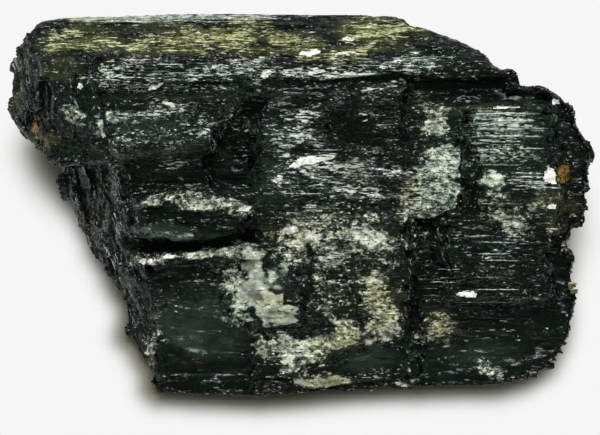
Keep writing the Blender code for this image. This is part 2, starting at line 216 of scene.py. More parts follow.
# Cracks in the drawn face: (half width, depth, the line they follow).
cracks = {
    "underQuartz": (0.22, 0.7, [(-6.2, -15.7), (-5.2, -15.4), (-3.8, -15.3), (-2.2, -15), (-0.5, -14.7),
                                (0.7, -13.9)]),
    "quartzSide": (0.2, 0.6, [(-6.9, -12.5), (-6, -13.6), (-5.2, -15.4), (-4.5, -16.5)]),
    "quartzEast": (0.2, 0.6, [(-1.2, -6.1), (-1.5, -8.6), (-1.9, -10.8), (-2.2, -12.1)]),
    "quartzCross": (0.18, 0.5, [(-2.1, -11.4), (-0.7, -11.9), (0.5, -11.6), (0.8, -9.9)]),
    "quartzPit": (0.25, 0.7, [(0.5, -11.6), (0.4, -13.4), (0.8, -14.6)]),
    "quartzWest": (0.15, 0.4, [(-10.4, -12.5), (-8.2, -12.9), (-6.3, -12.7)]),
    "toeLine": (0.25, 0.6, [(-1.4, -23.8), (2.7, -23.6), (6.2, -23.2), (9.9, -22.8)]),
    "toeLineEast": (0.2, 0.5, [(9.9, -22.8), (13.4, -22.1), (16.2, -21.7)]),
    "eastDiagonal": (0.25, 0.7, [(26.6, -1.7), (25.5, -3.9), (24.4, -6.1), (23.3, -8), (22.2, -9.9)]),
    "eastCross": (0.18, 0.5, [(20.3, -1.2), (22.2, -2), (24.4, -1.8), (26.9, -2.5)]),
    "eastBed": (0.18, 0.5, [(20, -6.1), (23.3, -6.5), (27.4, -6.1), (32.9, -6.6)]),
    "eastBedLow": (0.18, 0.5, [(20.6, -9.7), (24.7, -9.4), (29, -10.1), (34, -9.7)]),
    "plateauBreak": (0.2, 0.5, [(0, 2.8), (3, 2.1), (6.2, 2.5), (9.9, 1.7), (13.2, 2.3)]),
    "plateauBed": (0.15, 0.35, [(-4.1, 7.9), (-0.7, 8.2), (3, 7.7), (6.9, 8.2)]),
    "plateauUpright": (0.18, 0.45, [(1.1, -3.8), (1.6, -6.1), (1.2, -8.6), (1.8, -10.8)]),
    "yellowCrack": (0.2, 0.5, [(6.9, -9.4), (8.2, -11.3), (7.7, -13.5), (8.8, -15.4)]),
    "diagonalUnder": (0.22, 0.6, [(4.1, -20.1), (6.6, -19), (9, -18.2), (12.6, -17.3)]),
    "blockBed": (0.15, 0.4, [(-25.8, 12.5), (-21.9, 12.4), (-17.8, 12.7), (-13, 12.3)]),
    "upperBed": (0.18, 0.45, [(-31.5, 17.2), (-26, 16.6), (-19.2, 17.1), (-11.6, 16.6)]),
    "upperBedEast": (0.18, 0.45, [(-8.9, 17.7), (-1.4, 18), (5.5, 18.8), (13, 19.4)]),
    "westUpright": (0.2, 0.5, [(-27, 15.4), (-26.7, 12), (-26.3, 8.6)]),
    "barsGap": (0.18, 0.5, [(23.8, 10.5), (27.4, 10.2), (32.2, 10.5)]),
    "barsGapLow": (0.2, 0.6, [(23.8, 7.1), (27.4, 6.8), (31.5, 7.2)]),
}


def faceToRow():  # from the drawing's u, v and w to the row frame's x, y and z
    lift = Matrix.Translation((0, 0, drawing["lift"] * mm))
    return lift @ Matrix.Rotation(math.radians(drawing["tilt"]), 4, "X")


def outOfFace():  # the way the broad face looks
    return np.array(faceToRow().to_3x3() @ Vector((0, 0, 1)))


def outlineBlock(corners):
    bm = bmesh.new()
    front = bm.faces.new([bm.verts.new((u * mm, v * mm, drawing["front"] * mm)) for u, v in corners])
    front.normal_update()
    if front.normal.z < 0:
        front.normal_flip()
    made = bmesh.ops.extrude_face_region(bm, geom=[front], use_keep_orig=True)
    moved = [g for g in made["geom"] if isinstance(g, bmesh.types.BMVert)]
    bmesh.ops.translate(bm, vec=(0, 0, (drawing["back"] - drawing["front"]) * mm), verts=moved)
    bmesh.ops.recalc_face_normals(bm, faces=bm.faces)
    return bm


def cut(bm, point, normal):  # drops what is in front of the plane and closes the cut
    bmesh.ops.bisect_plane(
        bm,
        geom=[*bm.verts, *bm.edges, *bm.faces],
        dist=1e-7,
        plane_co=Vector(point) * mm,
        plane_no=Vector(normal).normalized(),
        clear_outer=True,
    )
    bmesh.ops.holes_fill(bm, edges=[e for e in bm.edges if e.is_boundary], sides=0)


def newObject(name, data):
    obj = bpy.data.objects.new(name, data)
    bpy.context.scene.collection.objects.link(obj)
    return obj


def objectFrom(bm, name):
    mesh = bpy.data.meshes.new(name)
    bm.to_mesh(mesh)
    bm.free()
    return newObject(name, mesh)


def settle(bm):  # the cuts leave the corners in a new order each run, and later steps keep to that order
    for vertex in bm.verts:
        vertex.co = [round(c, 7) for c in vertex.co]
    sides = sorted([sorted(tuple(v.co) for v in f.verts), [tuple(v.co) for v in f.verts]] for f in bm.faces)
    even = bmesh.new()
    verts = {place: even.verts.new(place) for place in sorted(tuple(v.co) for v in bm.verts)}
    for _, corners in sides:
        first = corners.index(min(corners))
        even.faces.new([verts[place] for place in corners[first:] + corners[:first]])
    bm.free()
    return even


def brokenBlock(name, corners, drawnFaces, rowFaces):
    bm = outlineBlock(corners)
    for point, normal in drawnFaces.values():
        cut(bm, point, normal)
    bmesh.ops.transform(bm, matrix=faceToRow(), verts=bm.verts)
    for point, normal in rowFaces.values():
        cut(bm, point, normal)
    bm = settle(bm)
    bmesh.ops.triangulate(bm, faces=bm.faces)
    return objectFrom(bm, name)


def applyModifiers(obj):
    graph = bpy.context.evaluated_depsgraph_get()
    made = bpy.data.meshes.new_from_object(obj.evaluated_get(graph))
    obj.modifiers.clear()
    old, obj.data = obj.data, made
    bpy.data.meshes.remove(old)


def join(obj, other):
    union = obj.modifiers.new("union", "BOOLEAN")
    union.operation = "UNION"
    union.object = other
    applyModifiers(obj)
    bpy.data.objects.remove(other)


def remesh(obj, voxel):
    even = obj.modifiers.new("remesh", "REMESH")
    even.mode = "VOXEL"
    even.voxel_size = voxel * mm
    applyModifiers(obj)


def decimate(obj, most):
    triangles = sum(len(p.vertices) - 2 for p in obj.data.polygons)
    fewer = obj.modifiers.new("decimate", "DECIMATE")
    fewer.ratio = min(1, most / triangles)
    applyModifiers(obj)


def pointsOf(obj):
    points = np.empty(len(obj.data.vertices) * 3)
    obj.data.vertices.foreach_get("co", points)
    return points.reshape(-1, 3)


def normalsOf(obj):
    normals = np.empty(len(obj.data.vertices) * 3)
    obj.data.vertex_normals.foreach_get("vector", normals)
    return normals.reshape(-1, 3)


def marksOf(obj, kind):  # a value for each point, as markStone wrote them
    values = np.empty(len(obj.data.vertices))
    obj.data.attributes[kind].data.foreach_get("value", values)
    return values


def mark(mesh, kind, values):
    mesh.attributes.new(kind, "FLOAT", "POINT").data.foreach_set("value", values)


def setPoints(obj, points):
    obj.data.vertices.foreach_set("co", points.ravel())
    obj.data.update()


def smoothstep(low, high, values):
    t = np.clip((values - low) / (high - low), 0, 1)
    return t * t * (3 - 2 * t)


def distanceTo(points, line):
    line = np.array(line, float)
    nearest = np.full(len(points), np.inf)
    for a, b in zip(line, line[1:]):
        along = b - a
        t = np.clip((points - a) @ along / (along @ along), 0, 1)
        nearest = np.minimum(nearest, np.linalg.norm(points - a - t[:, None] * along, axis=1))
    return nearest


def signedDistance(points, corners):  # + inside the outline, - outside
    corners = np.array(corners, float)
    nearest = distanceTo(points, [*corners, corners[0]])
    inside = np.zeros(len(points), bool)
    for a, b in zip(corners, np.roll(corners, -1, axis=0)):
        if a[1] != b[1]:
            at = a[0] + (points[:, 1] - a[1]) * (b[0] - a[0]) / (b[1] - a[1])
            inside ^= ((a[1] > points[:, 1]) != (b[1] > points[:, 1])) & (points[:, 0] < at)
    return np.where(inside, nearest, -nearest)


def ripple(points, layer, seed):  # a smoothly rising and falling height
    height, size = layer
    shifted = points / (np.array(size) * mm) + seed
    return height * np.array([noise.noise(p) for p in shifted])


def laths(points, layer, seed):  # a height for each splinter: long cells, each flat on top
    height, size = layer
    shifted = points / (np.array(size) * mm) + seed
    return height * np.array([noise.cell(noise.voronoi(p)[1][0] * 41.7) for p in shifted])


def drawn(points):  # the drawing's u, v and w of points in the row frame, in mm
    toDrawing = np.array(faceToRow().inverted())
    return (points @ toDrawing[:3, :3].T + toDrawing[:3, 3]) / mm


def facingOut(normals):  # how squarely a surface looks out of the drawing, as a cosine
    return normals @ outOfFace()


def wandered(flat):  # shifts u and v a little, so that straight lines run unevenly
    return flat[:, :2] + ripple(flat * mm, crackWander, 29.3)[:, None]


def carvePlates(obj):
    points, normals = pointsOf(obj), normalsOf(obj)
    flat = drawn(points)
    across = flat[:, :2].copy()
    across[:, 0] += laths(flat * mm, raggedEdge, 3.1)
    across += ripple(flat * mm, unevenEdge, 7.7)[:, None]
    rise = np.zeros(len(points))
    for height, softness, corners in plates.values():
        rise += height * smoothstep(-softness, softness, signedDistance(across, corners))
    for u, v, length, width, depth in shells.values():
        reach = np.hypot((flat[:, 0] - u) / length, (flat[:, 1] - v) / width)
        rise -= depth * np.clip(1 - reach**2, 0, None) ** stoneShape["shellBowl"]
    wander = wandered(flat)
    for width, depth, line in cracks.values():
        rise -= depth * smoothstep(width, stoneShape["crackFloor"] * width, distanceTo(wander, line))
    rise *= smoothstep(*stoneShape["carvedFacing"], facingOut(normals))
    setPoints(obj, points + (rise * mm)[:, None] * outOfFace())


def roughen(obj):
    points, normals = pointsOf(obj), normalsOf(obj)
    flat = drawn(points)
    endOn = smoothstep(*stoneShape["endOn"], np.abs(normals[:, 0]))
    rise = ripple(points, waves, 1.3)
    rise += laths(points, sheets, 51.0)
    rise += laths(points, ribs, 17.0)
    rise += laths(points, splinters, 11.0)
    rise += laths(points, fibreEnds, 41.0) * endOn
    rise += laths(points, fibreTips, 43.0) * endOn
    rise += (laths(flat * mm, endGrooves, 67.0) + laths(flat * mm, endPlates, 69.0)) * endOn
    long = laths(points, striae, 5.0) + laths(points, hairs, 61.0)
    short = laths(points, chips, 71.0) + ripple(points, grit, 83.0)
    most, less = stoneShape["longFine"]
    fine = long * (most - less * endOn)
    most, less = stoneShape["shortFine"]
    fine += short * (most - less * endOn)
    grown = growthAt(points, facingOut(normals), ("calm", "crust", "mica", "broken"))
    left = 1 - stoneShape["calmed"] * grown["calm"]
    rise += fine * left * (1 - stoneShape["snapped"] * grown["broken"])
    slant = flat @ np.array([[1, 0, 0], [stoneShape["columnSlant"], 1, 0], [0, 0, 1]]) * mm
    rise += laths(slant, brokenColumns, 73.0) * grown["broken"]
    rise += (ripple(points, crustBumps, 33.0) + ripple(points, crustGrit, 37.0)) * grown["crust"]
    rise += (ripple(points, micaLeaves, 53.0) + laths(points, micaEdges, 57.0)) * grown["mica"]
    setPoints(obj, points + (rise * mm)[:, None] * normals)


def keepLargestPiece(bm):
    unseen = set(bm.verts)
    pieces = []
    while unseen:
        piece = []
        reached = [unseen.pop()]
        while reached:
            vertex = reached.pop()
            piece.append(vertex)
            near = {edge.other_vert(vertex) for edge in vertex.link_edges} & unseen
            unseen -= near
            reached.extend(near)
        pieces.append(piece)
    pieces.sort(key=len)
    bmesh.ops.delete(bm, geom=[vertex for piece in pieces[:-1] for vertex in piece], context="VERTS")


def levelBase(obj):
    bm = bmesh.new()
    bm.from_mesh(obj.data)
    cut(bm, (0, 0, 0), (0, 0, -1))
    keepLargestPiece(bm)
    bmesh.ops.triangulate(bm, faces=bm.faces)
    bm.to_mesh(obj.data)
    bm.free()


def makeStone():
    stone = brokenBlock("crystal", outline, prismFaces, breakFaces | backFaces)
    knob = brokenBlock("knob", knobOutline, prismFaces | knobFaces, backFaces)
    join(stone, knob)
    remesh(stone, stoneShape["coarseVoxel"])
    carvePlates(stone)
    remesh(stone, stoneShape["fineVoxel"])
    roughen(stone)
    decimate(stone, stoneShape["mostTriangles"])
    levelBase(stone)
    return stone


# What grows on the black, and the sheen, glints and reflections painted on it, each patch as (density, u, v,
# half length, half width, turn in degrees).
patches = {
    "crust": {
        "saddle": (1, 18.4, 4, 4.4, 4.1, 25),
        "saddleTop": (1, 19.2, 8.2, 3.7, 2.7, 0),
        "saddleWest": (0.62, 14.4, 1.7, 4.1, 2.2, 35),
        "saddleTail": (0.6, 9.9, -2, 4.9, 1.9, 25),
        "eastShelf": (1, 28.5, 0.2, 4.7, 2.2, 5),
        "knuckle": (1, 18.8, 12.5, 2.3, 2.2, 0),
        "knuckleTop": (0.7, 17.3, 14.9, 1.9, 0.8, 0),
        "creamWest": (0.7, -1.8, -1.8, 2.3, 1.2, 20),
        "centreHaze": (0.4, 3.4, -1, 8.2, 3, 0),
        "splinterCrust": (1, -20.6, 2, 2.2, 0.8, 15),
        "splinterCrust2": (1, -15.9, 2.9, 3.6, 1.2, 12),
        "splinterCrust3": (0.95, -13, 1.6, 5.8, 1, 3),
        "splinterCrust4": (0.88, -7.8, 1, 1.8, 0.8, -10),
        "ledgeWest": (0.95, -19.5, -5.7, 3.3, 0.7, 8),
        "ledgeMid": (1, -13, -5, 4.1, 0.7, 8),
        "ledgeEast": (0.8, -8.5, -4.5, 3, 1, 10),
        "underLedge": (0.45, -11.6, -6.9, 3, 1.1, 0),
        "quartzRimWest": (0.9, -8.2, -10.2, 1.9, 3, 35),
        "quartzRimSouth": (0.8, -7.8, -13.4, 2.7, 1.9, 10),
        "quartzFoot": (0.9, -3.8, -13.4, 3.8, 2.1, 0),
        "quartzFootLow": (0.85, -3.3, -17.6, 3.6, 2.2, -10),
        "quartzNorth": (0.55, -2.1, -5.5, 4.8, 1.4, 0),
        "footEast": (0.6, 0, -19.5, 2.7, 2.7, 0),
        "yellowPatch": (0.92, 10.7, -11.3, 3.3, 3.3, 0),
        "yellowPatchLow": (0.92, 11.6, -15.4, 3, 2.2, 20),
        "diagonal": (0.98, 5.5, -16.8, 6.6, 1.8, 24),
        "lensCrust": (0.85, 2.5, -22.5, 3.6, 1, 12),
        "toeCrust": (0.75, 14.2, -22.5, 1.9, 0.7, 10),
        "shaftCrust": (0.75, 19.3, -14.3, 3, 1.4, 15),
        "shaftCrust2": (0.55, 18.1, -16.4, 3.3, 1, -12),
        # painted reflection along the glossy top rim
        "topRimWhitePaintedReflection": (0.9, -23.3, 27.7, 11, 0.4, 1),
        "nicheSpecks": (0.5, -8.5, 13.4, 1.9, 2.7, 0),
        "notchSpecks": (0.42, 13, 16.8, 5.5, 1.9, 10),
        "bandWest": (0.6, -33.4, 26, 2.7, 0.7, 0),
        "bandLow": (0.45, -21.9, 22.9, 9.6, 0.5, 0),
        "bandMid": (0.3, -13.7, 25.1, 11, 1.1, 0),
        # Painted glints: white specks where flat facets of the upper facet flash in the light.
        "facetPaintedGlint": (0.9, -4.4, 20.1, 1.5, 0.7, 0),
        "facetPaintedGlintEast": (0.85, -1.1, 19.7, 1.6, 0.5, 0),
        "facetPaintedGlintWest": (0.55, -12.6, 20.1, 2.2, 0.7, 0),
        "toeLens": (0.5, 3, -22.7, 3, 0.7, 8),
        # painted glint on the knob
        "knobGlint": (0.6, -27.1, 13.1, 0.8, 1.4, 0),
        "toeCrustEast": (0.72, 25.6, -21.3, 2.2, 1.1, -10),
        "knobCluster": (0.95, -31.8, 14.2, 1.5, 1.2, -15),
        "creamUpper": (0.5, 2.5, 10.9, 2.2, 1.1, -10),
        "eastSpecks": (0.3, 30.1, 3.8, 5.5, 6, 0),
        "centreSpecks": (0.55, 3, -9.9, 4.9, 4.9, 0),
        "plateauHaze": (0.4, 7.7, -5.3, 7.7, 3.6, 0),
        "centreNet": (0.4, 6.2, -3.4, 9, 2.7, 0),
        "plateauNet": (0.4, 6.2, 0.3, 8.2, 1.9, 10),
        "plateauNorthNet": (0.42, 4.1, 5.8, 8.2, 3.3, 0),
        "barsNet": (0.45, 28.1, 13.2, 5.2, 2.2, 0),
        "barsLowNet": (0.75, 27.4, 9.2, 5.2, 1.6, 0),
        "easternPale": (0.8, 26.4, 5.1, 1.8, 1.2, -20),
        # Specks on the left break and its columns: partly crust, partly painted glints.
        "westSpecks": (0.32, -28.1, 2.4, 1.9, 6.6, -20),
        "westSpecksLow": (0.34, -24.4, -8.6, 1.6, 6.3, -22),
        "westFootSpecks": (0.7, -20.6, -18.4, 1.1, 3.3, -20),
        "knobSpecks": (0.15, -36.3, 17.5, 2.5, 4.7, 0),
        "shoulderColumn": (0.7, -27, 12.3, 0.8, 3, -14),
        "ridgeColumn": (0.5, -25.8, 6.2, 1.1, 5.2, -14),
        "capSpecks": (0.35, -28.8, 16.8, 2.7, 1.9, 0),
        "blockSpecks": (0.45, -18.5, 14.5, 6.9, 1.6, 5),
        "plateauWhite": (0.5, 7.5, 7.2, 4.1, 1.9, 0),
        # painted glint on the upper facet
        "upperFacetPaintedGlint": (0.5, 13.7, 21.3, 3.8, 0.8, 5),
        "plateauNorthTop": (0.35, 0, 11.3, 4.7, 2.2, 10),
        "blockNet": (0.58, -20.6, 12, 6.9, 2.5, 0),
        "panelDust": (0.12, -13.7, -16.8, 5.5, 6.2, 0),
        "panelDustHigh": (0.2, -15.1, -9.2, 4.9, 2.7, 0),
        "footDust": (0.2, 11, -20.6, 5.5, 2.7, 0),
        "eastDust": (0.2, 26, -17.5, 8.2, 4.1, 0),
        "bandGlow": (0.8, -1.6, 24.9, 2.5, 0.8, 0),
    },
    # Pale dashes along the striations: partly dust in the grooves, partly painted glints where the ridges
    # flash.
    "streak": {
        "upperFacetWest": (0.72, -20.6, 19.8, 9, 2.1, 2),
        "upperFacetMid": (0.84, -8.2, 20.3, 6.9, 1.8, 0),
        "upperFacetEast": (0.85, 4.1, 20.2, 6.9, 1.4, 0),
        "upperFacetPaintedGlint": (1, 14.8, 21.3, 4.7, 1.2, 5),
        "upperFacetFar": (0.7, 20.8, 22.3, 2.7, 1.4, -20),
        "upperFacetFoot": (0.45, 19.2, 19.5, 5.5, 0.8, -5),
        "upperFacetLow": (0.45, -15.8, 17.7, 8.2, 0.7, 2),
        "blockTop": (0.75, -19.9, 14.3, 6.2, 1, 6),
        "blockSheen": (0.68, -19.2, 11.7, 7.5, 1.9, 0),
        "plateauNorthTop": (0.85, -1.1, 11.7, 4.1, 2.5, 0),
        "shaftDust": (0.4, 17.1, -5.8, 1.6, 6, 0),
        "blockFoot": (0.45, -19.2, 7.5, 6.2, 1.4, 0),
        "nicheDust": (0.8, -8.5, 13.1, 2.2, 3, 0),
        "blockEast": (0.5, -11.6, 14.5, 3, 1.4, 30),
        "ledgeLine": (0.75, 4.1, 16.1, 4.1, 0.4, 14),
        "ledgeLine2": (0.7, 13, 18.4, 4.1, 0.5, 12),
        "ledgeUnder": (0.55, -1.4, 13.1, 4.4, 1.9, 10),
        "plateauNorth": (0.9, 4.1, 7.2, 8.2, 1.6, 0),
        "plateauMid": (0.85, 4.1, 4.5, 8.5, 1.6, 0),
        "plateauLow": (0.6, 5.5, 1.7, 7.5, 1.4, 0),
        "plateauEast": (0.45, 11.6, 5.1, 2.7, 4.1, 0),
        "notchBars": (0.35, 11, 13.4, 3, 2.5, 0),
        "eastBars": (0.4, 28.1, 13.4, 4.4, 1.2, 0),
        "eastBarsLow": (0.5, 27.7, 11.4, 4.1, 1.1, 0),
        "eastBarsFoot": (0.55, 27.4, 9, 4.9, 1, 0),
        "eastLines": (0.6, 31.5, 5.1, 2.2, 1.2, 0),
        "eastLow": (0.42, 26, -2.4, 8.2, 1.6, 0),
        "eastLow2": (0.5, 28.1, -5.4, 4.7, 1, 0),
        "eastLow3": (0.45, 23.3, -8.6, 6.2, 1.4, 0),
        "eastFoot": (0.45, 27.4, -10.9, 8.2, 0.7, 0),
        "centreLow": (0.4, 4.1, -6.1, 6.9, 1.6, 0),
        "recessSpecks": (0.2, -1.4, 17.2, 5.5, 1.1, 0),
        "saddle": (0.2, 19.2, 4.3, 4.1, 4.4, 20),
        "eastShelf": (0.35, 28.5, 0.5, 4.7, 1.6, 5),
        "farEast": (0.25, 33.6, 9.2, 2.7, 6.9, 0),
    },
    # Painted glints: bright lines along the tops of the striations, where they flash in the light.
    "line": {
        "upperFacetPaintedGlint": (1, 14.8, 21.3, 4.5, 1.1, 5),
        "upperFacet": (0.28, -19.2, 19.8, 8.5, 1.8, 2),
        "upperFacetMid": (0.45, -9.6, 20.2, 5.5, 1.1, 0),
        "eastBars": (1, 28.1, 13.1, 4.5, 1.6, 0),
        "eastBarsLow": (0.85, 27.4, 11, 4.4, 1.1, 0),
        "eastFan": (0.8, 31.6, 5.1, 2.1, 1.1, -8),
        # painted reflection along the glossy top rim
        "topRimPaintedReflection": (0.95, -17.8, 27.5, 15.1, 0.4, 1),
        "eastLow": (0.2, 27.4, -3.1, 6.2, 1.1, 0),
        "eastHeap": (0.35, 22.6, -8.6, 4.1, 1.4, 0),
        "plateau": (0.3, 5.5, 4.5, 8.2, 3.4, 0),
    },
    # Painted sheen: where the glossy black shows a sheen, its colour is lightened to a teal-grey haze.
    "paintedSheen": {
        "upperFacetPaintedGlint": (0.9, 14.8, 21.3, 4.9, 1.2, 5),
        "block": (0.75, -19.2, 11.7, 7.5, 2.2, 0),
        "blockLow": (0.4, -17.8, 7.9, 6.9, 1.6, 0),
        "recess": (0.35, -5.8, 16.8, 4.1, 2.2, 0),
        "underLedge": (0.55, -3.4, 11.3, 2.7, 2.2, 0),
        "plateau": (0.6, -3.4, 5.1, 3.6, 3, 0),
        "eastPlateau": (0.45, 27.4, 9.2, 6.2, 5.5, 0),
        "shell": (0.95, -13.3, -14.6, 5.5, 4.4, -10),
        "foot": (0.75, 9.6, -19.8, 4.4, 1.6, 8),
        "footEast": (0.6, 24.7, -18.2, 4.1, 1.9, 0),
        "footFar": (0.25, 20.6, -20.2, 6.9, 2.2, 0),
        "knobEnd": (0.5, -36, 20.2, 1.4, 6.2, 0),
        "shard": (0.9, -18.5, -2, 5.8, 0.8, -6),
        "westBreak": (0.4, -28.1, 2.4, 1.9, 8.2, -20),
        "saddleBlue": (0.7, 19.5, 7.2, 2.7, 3.6, 0),
        "saddleCold": (0.8, 19.9, 3.1, 2.5, 2.2, 0),
        "band": (1, 28.1, 13.4, 5.8, 2.3, 0),
        "blockHigh": (0.8, -21.9, 13.1, 6.3, 1.6, 0),
        "quartzBlue": (0.9, -3, -8.3, 1.9, 1.9, 0),
    },
    "mica": {
        "bandWest": (0.66, -31, 24.7, 5.5, 2.6, 0),
        "bandMid": (0.72, -17.8, 24.6, 8.2, 2.2, 0),
        "bandBright": (0.85, -10.3, 25.3, 6.2, 1.4, 3),
        "bandBelow": (0.6, -13.7, 22.9, 13.7, 0.7, 0),
        "bandPeak": (0.8, -7.1, 27.1, 2.2, 1, 0),
        "bandGlow": (1, -2.2, 24.6, 2.7, 1.2, 0),
        "bandPod": (1, 6.6, 24.9, 1.5, 0.8, 0),
        "bandPodEast": (1, 12.3, 25.1, 1.9, 0.7, 0),
        "bandOlive": (0.7, 1.6, 24, 2.2, 0.8, 0),
        "bandLens": (0.75, 3.4, 21.9, 5.5, 0.7, 2),
        "bandEast": (0.9, 11, 25.4, 4.9, 1.5, 5),
        "bandEastTop": (0.6, 10.3, 27.3, 4.7, 1, 8),
        "bandEastLow": (0.45, 8.2, 23.5, 5.5, 0.8, 0),
        "brow": (0.5, 24.4, 14.9, 1.9, 0.5, 0),
        "saddleTinge": (0.55, 14.8, 3.8, 1.1, 1.9, 0),
        "knobRim": (0.35, -39.7, 19.1, 0.8, 5.5, 0),
        "knobOlive": (0.3, -32.6, 19.9, 3.3, 1.6, 0),
        "knobFoot": (0.3, -35.9, 10.6, 3.6, 1.1, 10),
        "eastOlive": (0.38, 35.1, 1.6, 2.7, 3, 0),
        "yellowPatch": (0.5, 11, -11, 2.7, 2.7, 0),
        "quartzFoot": (0.35, -3.4, -11.3, 2.7, 1.4, 0),
        "diag": (0.4, 6.2, -16.8, 5.5, 1.9, 24),
        "eastPatch": (0.5, 19.6, -14.7, 1.9, 1.6, 0),
        "lensTop": (0.7, 3.6, -22.5, 3, 1.1, 8),
        "barsTinge": (0.35, 28.5, 9.2, 3.6, 1.1, 0),
        "westTinge": (0.3, 0, -2.4, 4.7, 1.6, 0),
        "bump": (0.3, -19.9, -14.7, 0.7, 1.4, 0),
    },
    # Milky quartz; along the top rim the same pale colour is a painted reflection.
    "quartz": {
        "bandGlow": (0.6, -2.5, 24.7, 1.9, 0.7, 0),
        "green": (1, -6, -8, 1.5, 3.4, 8),
        "greenFoot": (0.8, -6.6, -10.2, 1.5, 1.4, 0),
        "blue": (0.55, -3.2, -8.4, 2.1, 2.1, 0),
        "cream": (1, -3.6, -13.1, 3.2, 2.3, -10),
        "toeLens": (1, 3.3, -22.7, 3.7, 1, 8),
        # painted reflection along the glossy top rim
        "topRimPaintedReflection": (1, -21.9, 27.9, 12.3, 0.4, 1),
        "topRimEastPaintedReflection": (0.7, -6.9, 28, 5.5, 0.4, 2),
        "knuckle": (0.8, 18.6, 12.3, 0.8, 0.7, 0),
    },
    "calm": {
        "knobRim": (0.8, -39.7, 19.1, 1, 5.5, 0),
        "niche": (0.6, -8.8, 12, 3, 4.7, 0),
        "nicheTop": (0.9, -6.6, 16.1, 3.6, 1.6, 0),
        "nicheFoot": (0.85, -10.3, 5.8, 5.2, 1.6, 0),
        "blockFoot": (0.5, -17.1, 7.6, 8.2, 1.2, 0),
        "ledgeShade": (0.95, -15.1, -3.1, 8.2, 1.1, 6),
        "panelWest": (0.65, -17.1, -9.2, 4.7, 2.5, 0),
        "panelCorner": (0.6, -18.5, -14, 2.7, 2.7, 0),
        "shellFoot": (0.8, -13, -19.8, 6.3, 3.6, 0),
        "shellCentre": (0.7, -13, -14.7, 4.1, 3.3, 0),
        "footMid": (0.85, 9.9, -19.8, 4.7, 1.9, 8),
        "shaft": (0.8, 17.1, -6.1, 1.9, 6.3, 0),
        "shaftLow": (0.8, 16.4, -15.4, 1.4, 5.5, 0),
        "eastFoot": (0.95, 28.1, -17.5, 9, 4.1, 0),
        "eastToe": (0.9, 20.6, -19.8, 6.3, 2.2, 0),
        "eastEdge": (0.85, 35.9, -4.5, 1.6, 9.6, 0),
        "eastTop": (0.9, 31.5, 17.2, 8.2, 1.2, 5),
        "notchTop": (0.8, 20.6, 17.5, 6.3, 1.2, 0),
        "eastSlot": (0.9, 23, 6.5, 0.7, 6.9, 0),
        "eastShade": (0.8, 33.6, 12, 1.6, 3.6, 0),
        "recess": (0.7, -2.7, 17.1, 8.2, 1.2, -5),
        "notch": (0.5, 6.9, 12, 4.1, 2.2, 0),
        "knobShade": (0.7, -32.9, 14.7, 4.7, 4.7, 0),
        "pits": (0.6, 4.8, -11.3, 2.7, 3, 0),
        "westFoot": (0.7, -21.9, -17.5, 1.4, 4.1, 0),
    },
    "broken": {
        "cap": (0.9, -28.5, 15.4, 3.3, 6, -12),
        "capWest": (0.7, -31.8, 14.5, 3, 4.9, 0),
        "edgeHigh": (0.8, -26.3, 2.4, 1.8, 6.9, -14),
        "edgeLow": (0.8, -23, -10.2, 1.5, 8.2, -17),
        "edgeFoot": (0.8, -20.3, -18.8, 1.1, 4.9, -8),
    },
    "rust": {
        "amber": (0.95, 36, 6.2, 1.2, 1.4, 0),
        "knobAmber": (0.95, -36.7, 12.4, 0.8, 1.1, 0),
        "knobFoot": (0.35, -35.6, 11.3, 3.8, 1.6, 8),
        "rimOlive": (0.45, 37.7, 2.4, 1.4, 6.9, 0),
        "yellowTinge": (0.35, 10.3, -9.9, 2.7, 1.9, 0),
        "westEdge": (0.5, -30.8, -0.6, 1.6, 2.2, -30),
    },
}

# The same on the sides that the drawing doesn't show: (density, size along x, y and z in mm).
growth = {
    "crust": (0.75, (15, 7, 7)),
    "streak": (0.60, (26, 5, 5)),
    "mica": (0.80, (22, 8, 8)),
    # painted sheen, on the sides that the drawing doesn't show
    "paintedSheen": (0.80, (12, 6, 6)),
    "line": (0.60, (22, 5, 5)),
    "calm": (0.80, (14, 8, 8)),
    "rust": (0.70, (8, 5, 5)),
    "quartz": (0.50, (7, 5, 5)),
    "broken": (0.0, (8, 8, 8)),
}

growing = {
    "patchEdge": (1.5, 0.45),  # where a patch starts and where it is full, as shares of its size
    "wobble": (0.7, (3.5, 2, 2)),  # how far its edge wanders, in the same shares, and over how many mm
    "fineWobble": (0.5, (1, 0.7, 0.7)),
    "drawnSide": (-0.4, -0.1),  # cosines to the broad face between which the drawn side starts
    "hiddenEdge": (0.05, 0.45),  # heights of the noise between which growth starts on the other sides
    "crackFloor": 0.4,  # share of a crack's width where nothing grows
    "crackEdge": 0.2,  # mm beside a crack over which growth comes back
    "hackle": (0.35, 0.7),  # cosines to x between which the hackled break starts
}


def patchDensity(flat, kind, wobble):
    clear = np.ones(len(flat))
    for density, u, v, length, width, angle in patches[kind].values():
        turn = math.radians(angle)
        du, dv = flat[:, 0] - u, flat[:, 1] - v
        along = (du * math.cos(turn) + dv * math.sin(turn)) / length
        across = (dv * math.cos(turn) - du * math.sin(turn)) / width
        clear *= 1 - density * smoothstep(*growing["patchEdge"], np.hypot(along, across) + wobble)
    return 1 - clear


def smoothNormals(obj, rounds=14):
    edges = np.empty(len(obj.data.edges) * 2, int)
    obj.data.edges.foreach_get("vertices", edges)
    a, b = edges.reshape(-1, 2).T
    normals = normalsOf(obj)
    for _ in range(rounds):
        total = normals.copy()
        for axis in range(3):
            total[:, axis] += np.bincount(a, normals[b, axis], len(normals))
            total[:, axis] += np.bincount(b, normals[a, axis], len(normals))
        normals = total / np.linalg.norm(total, axis=1)[:, None]
    return normals


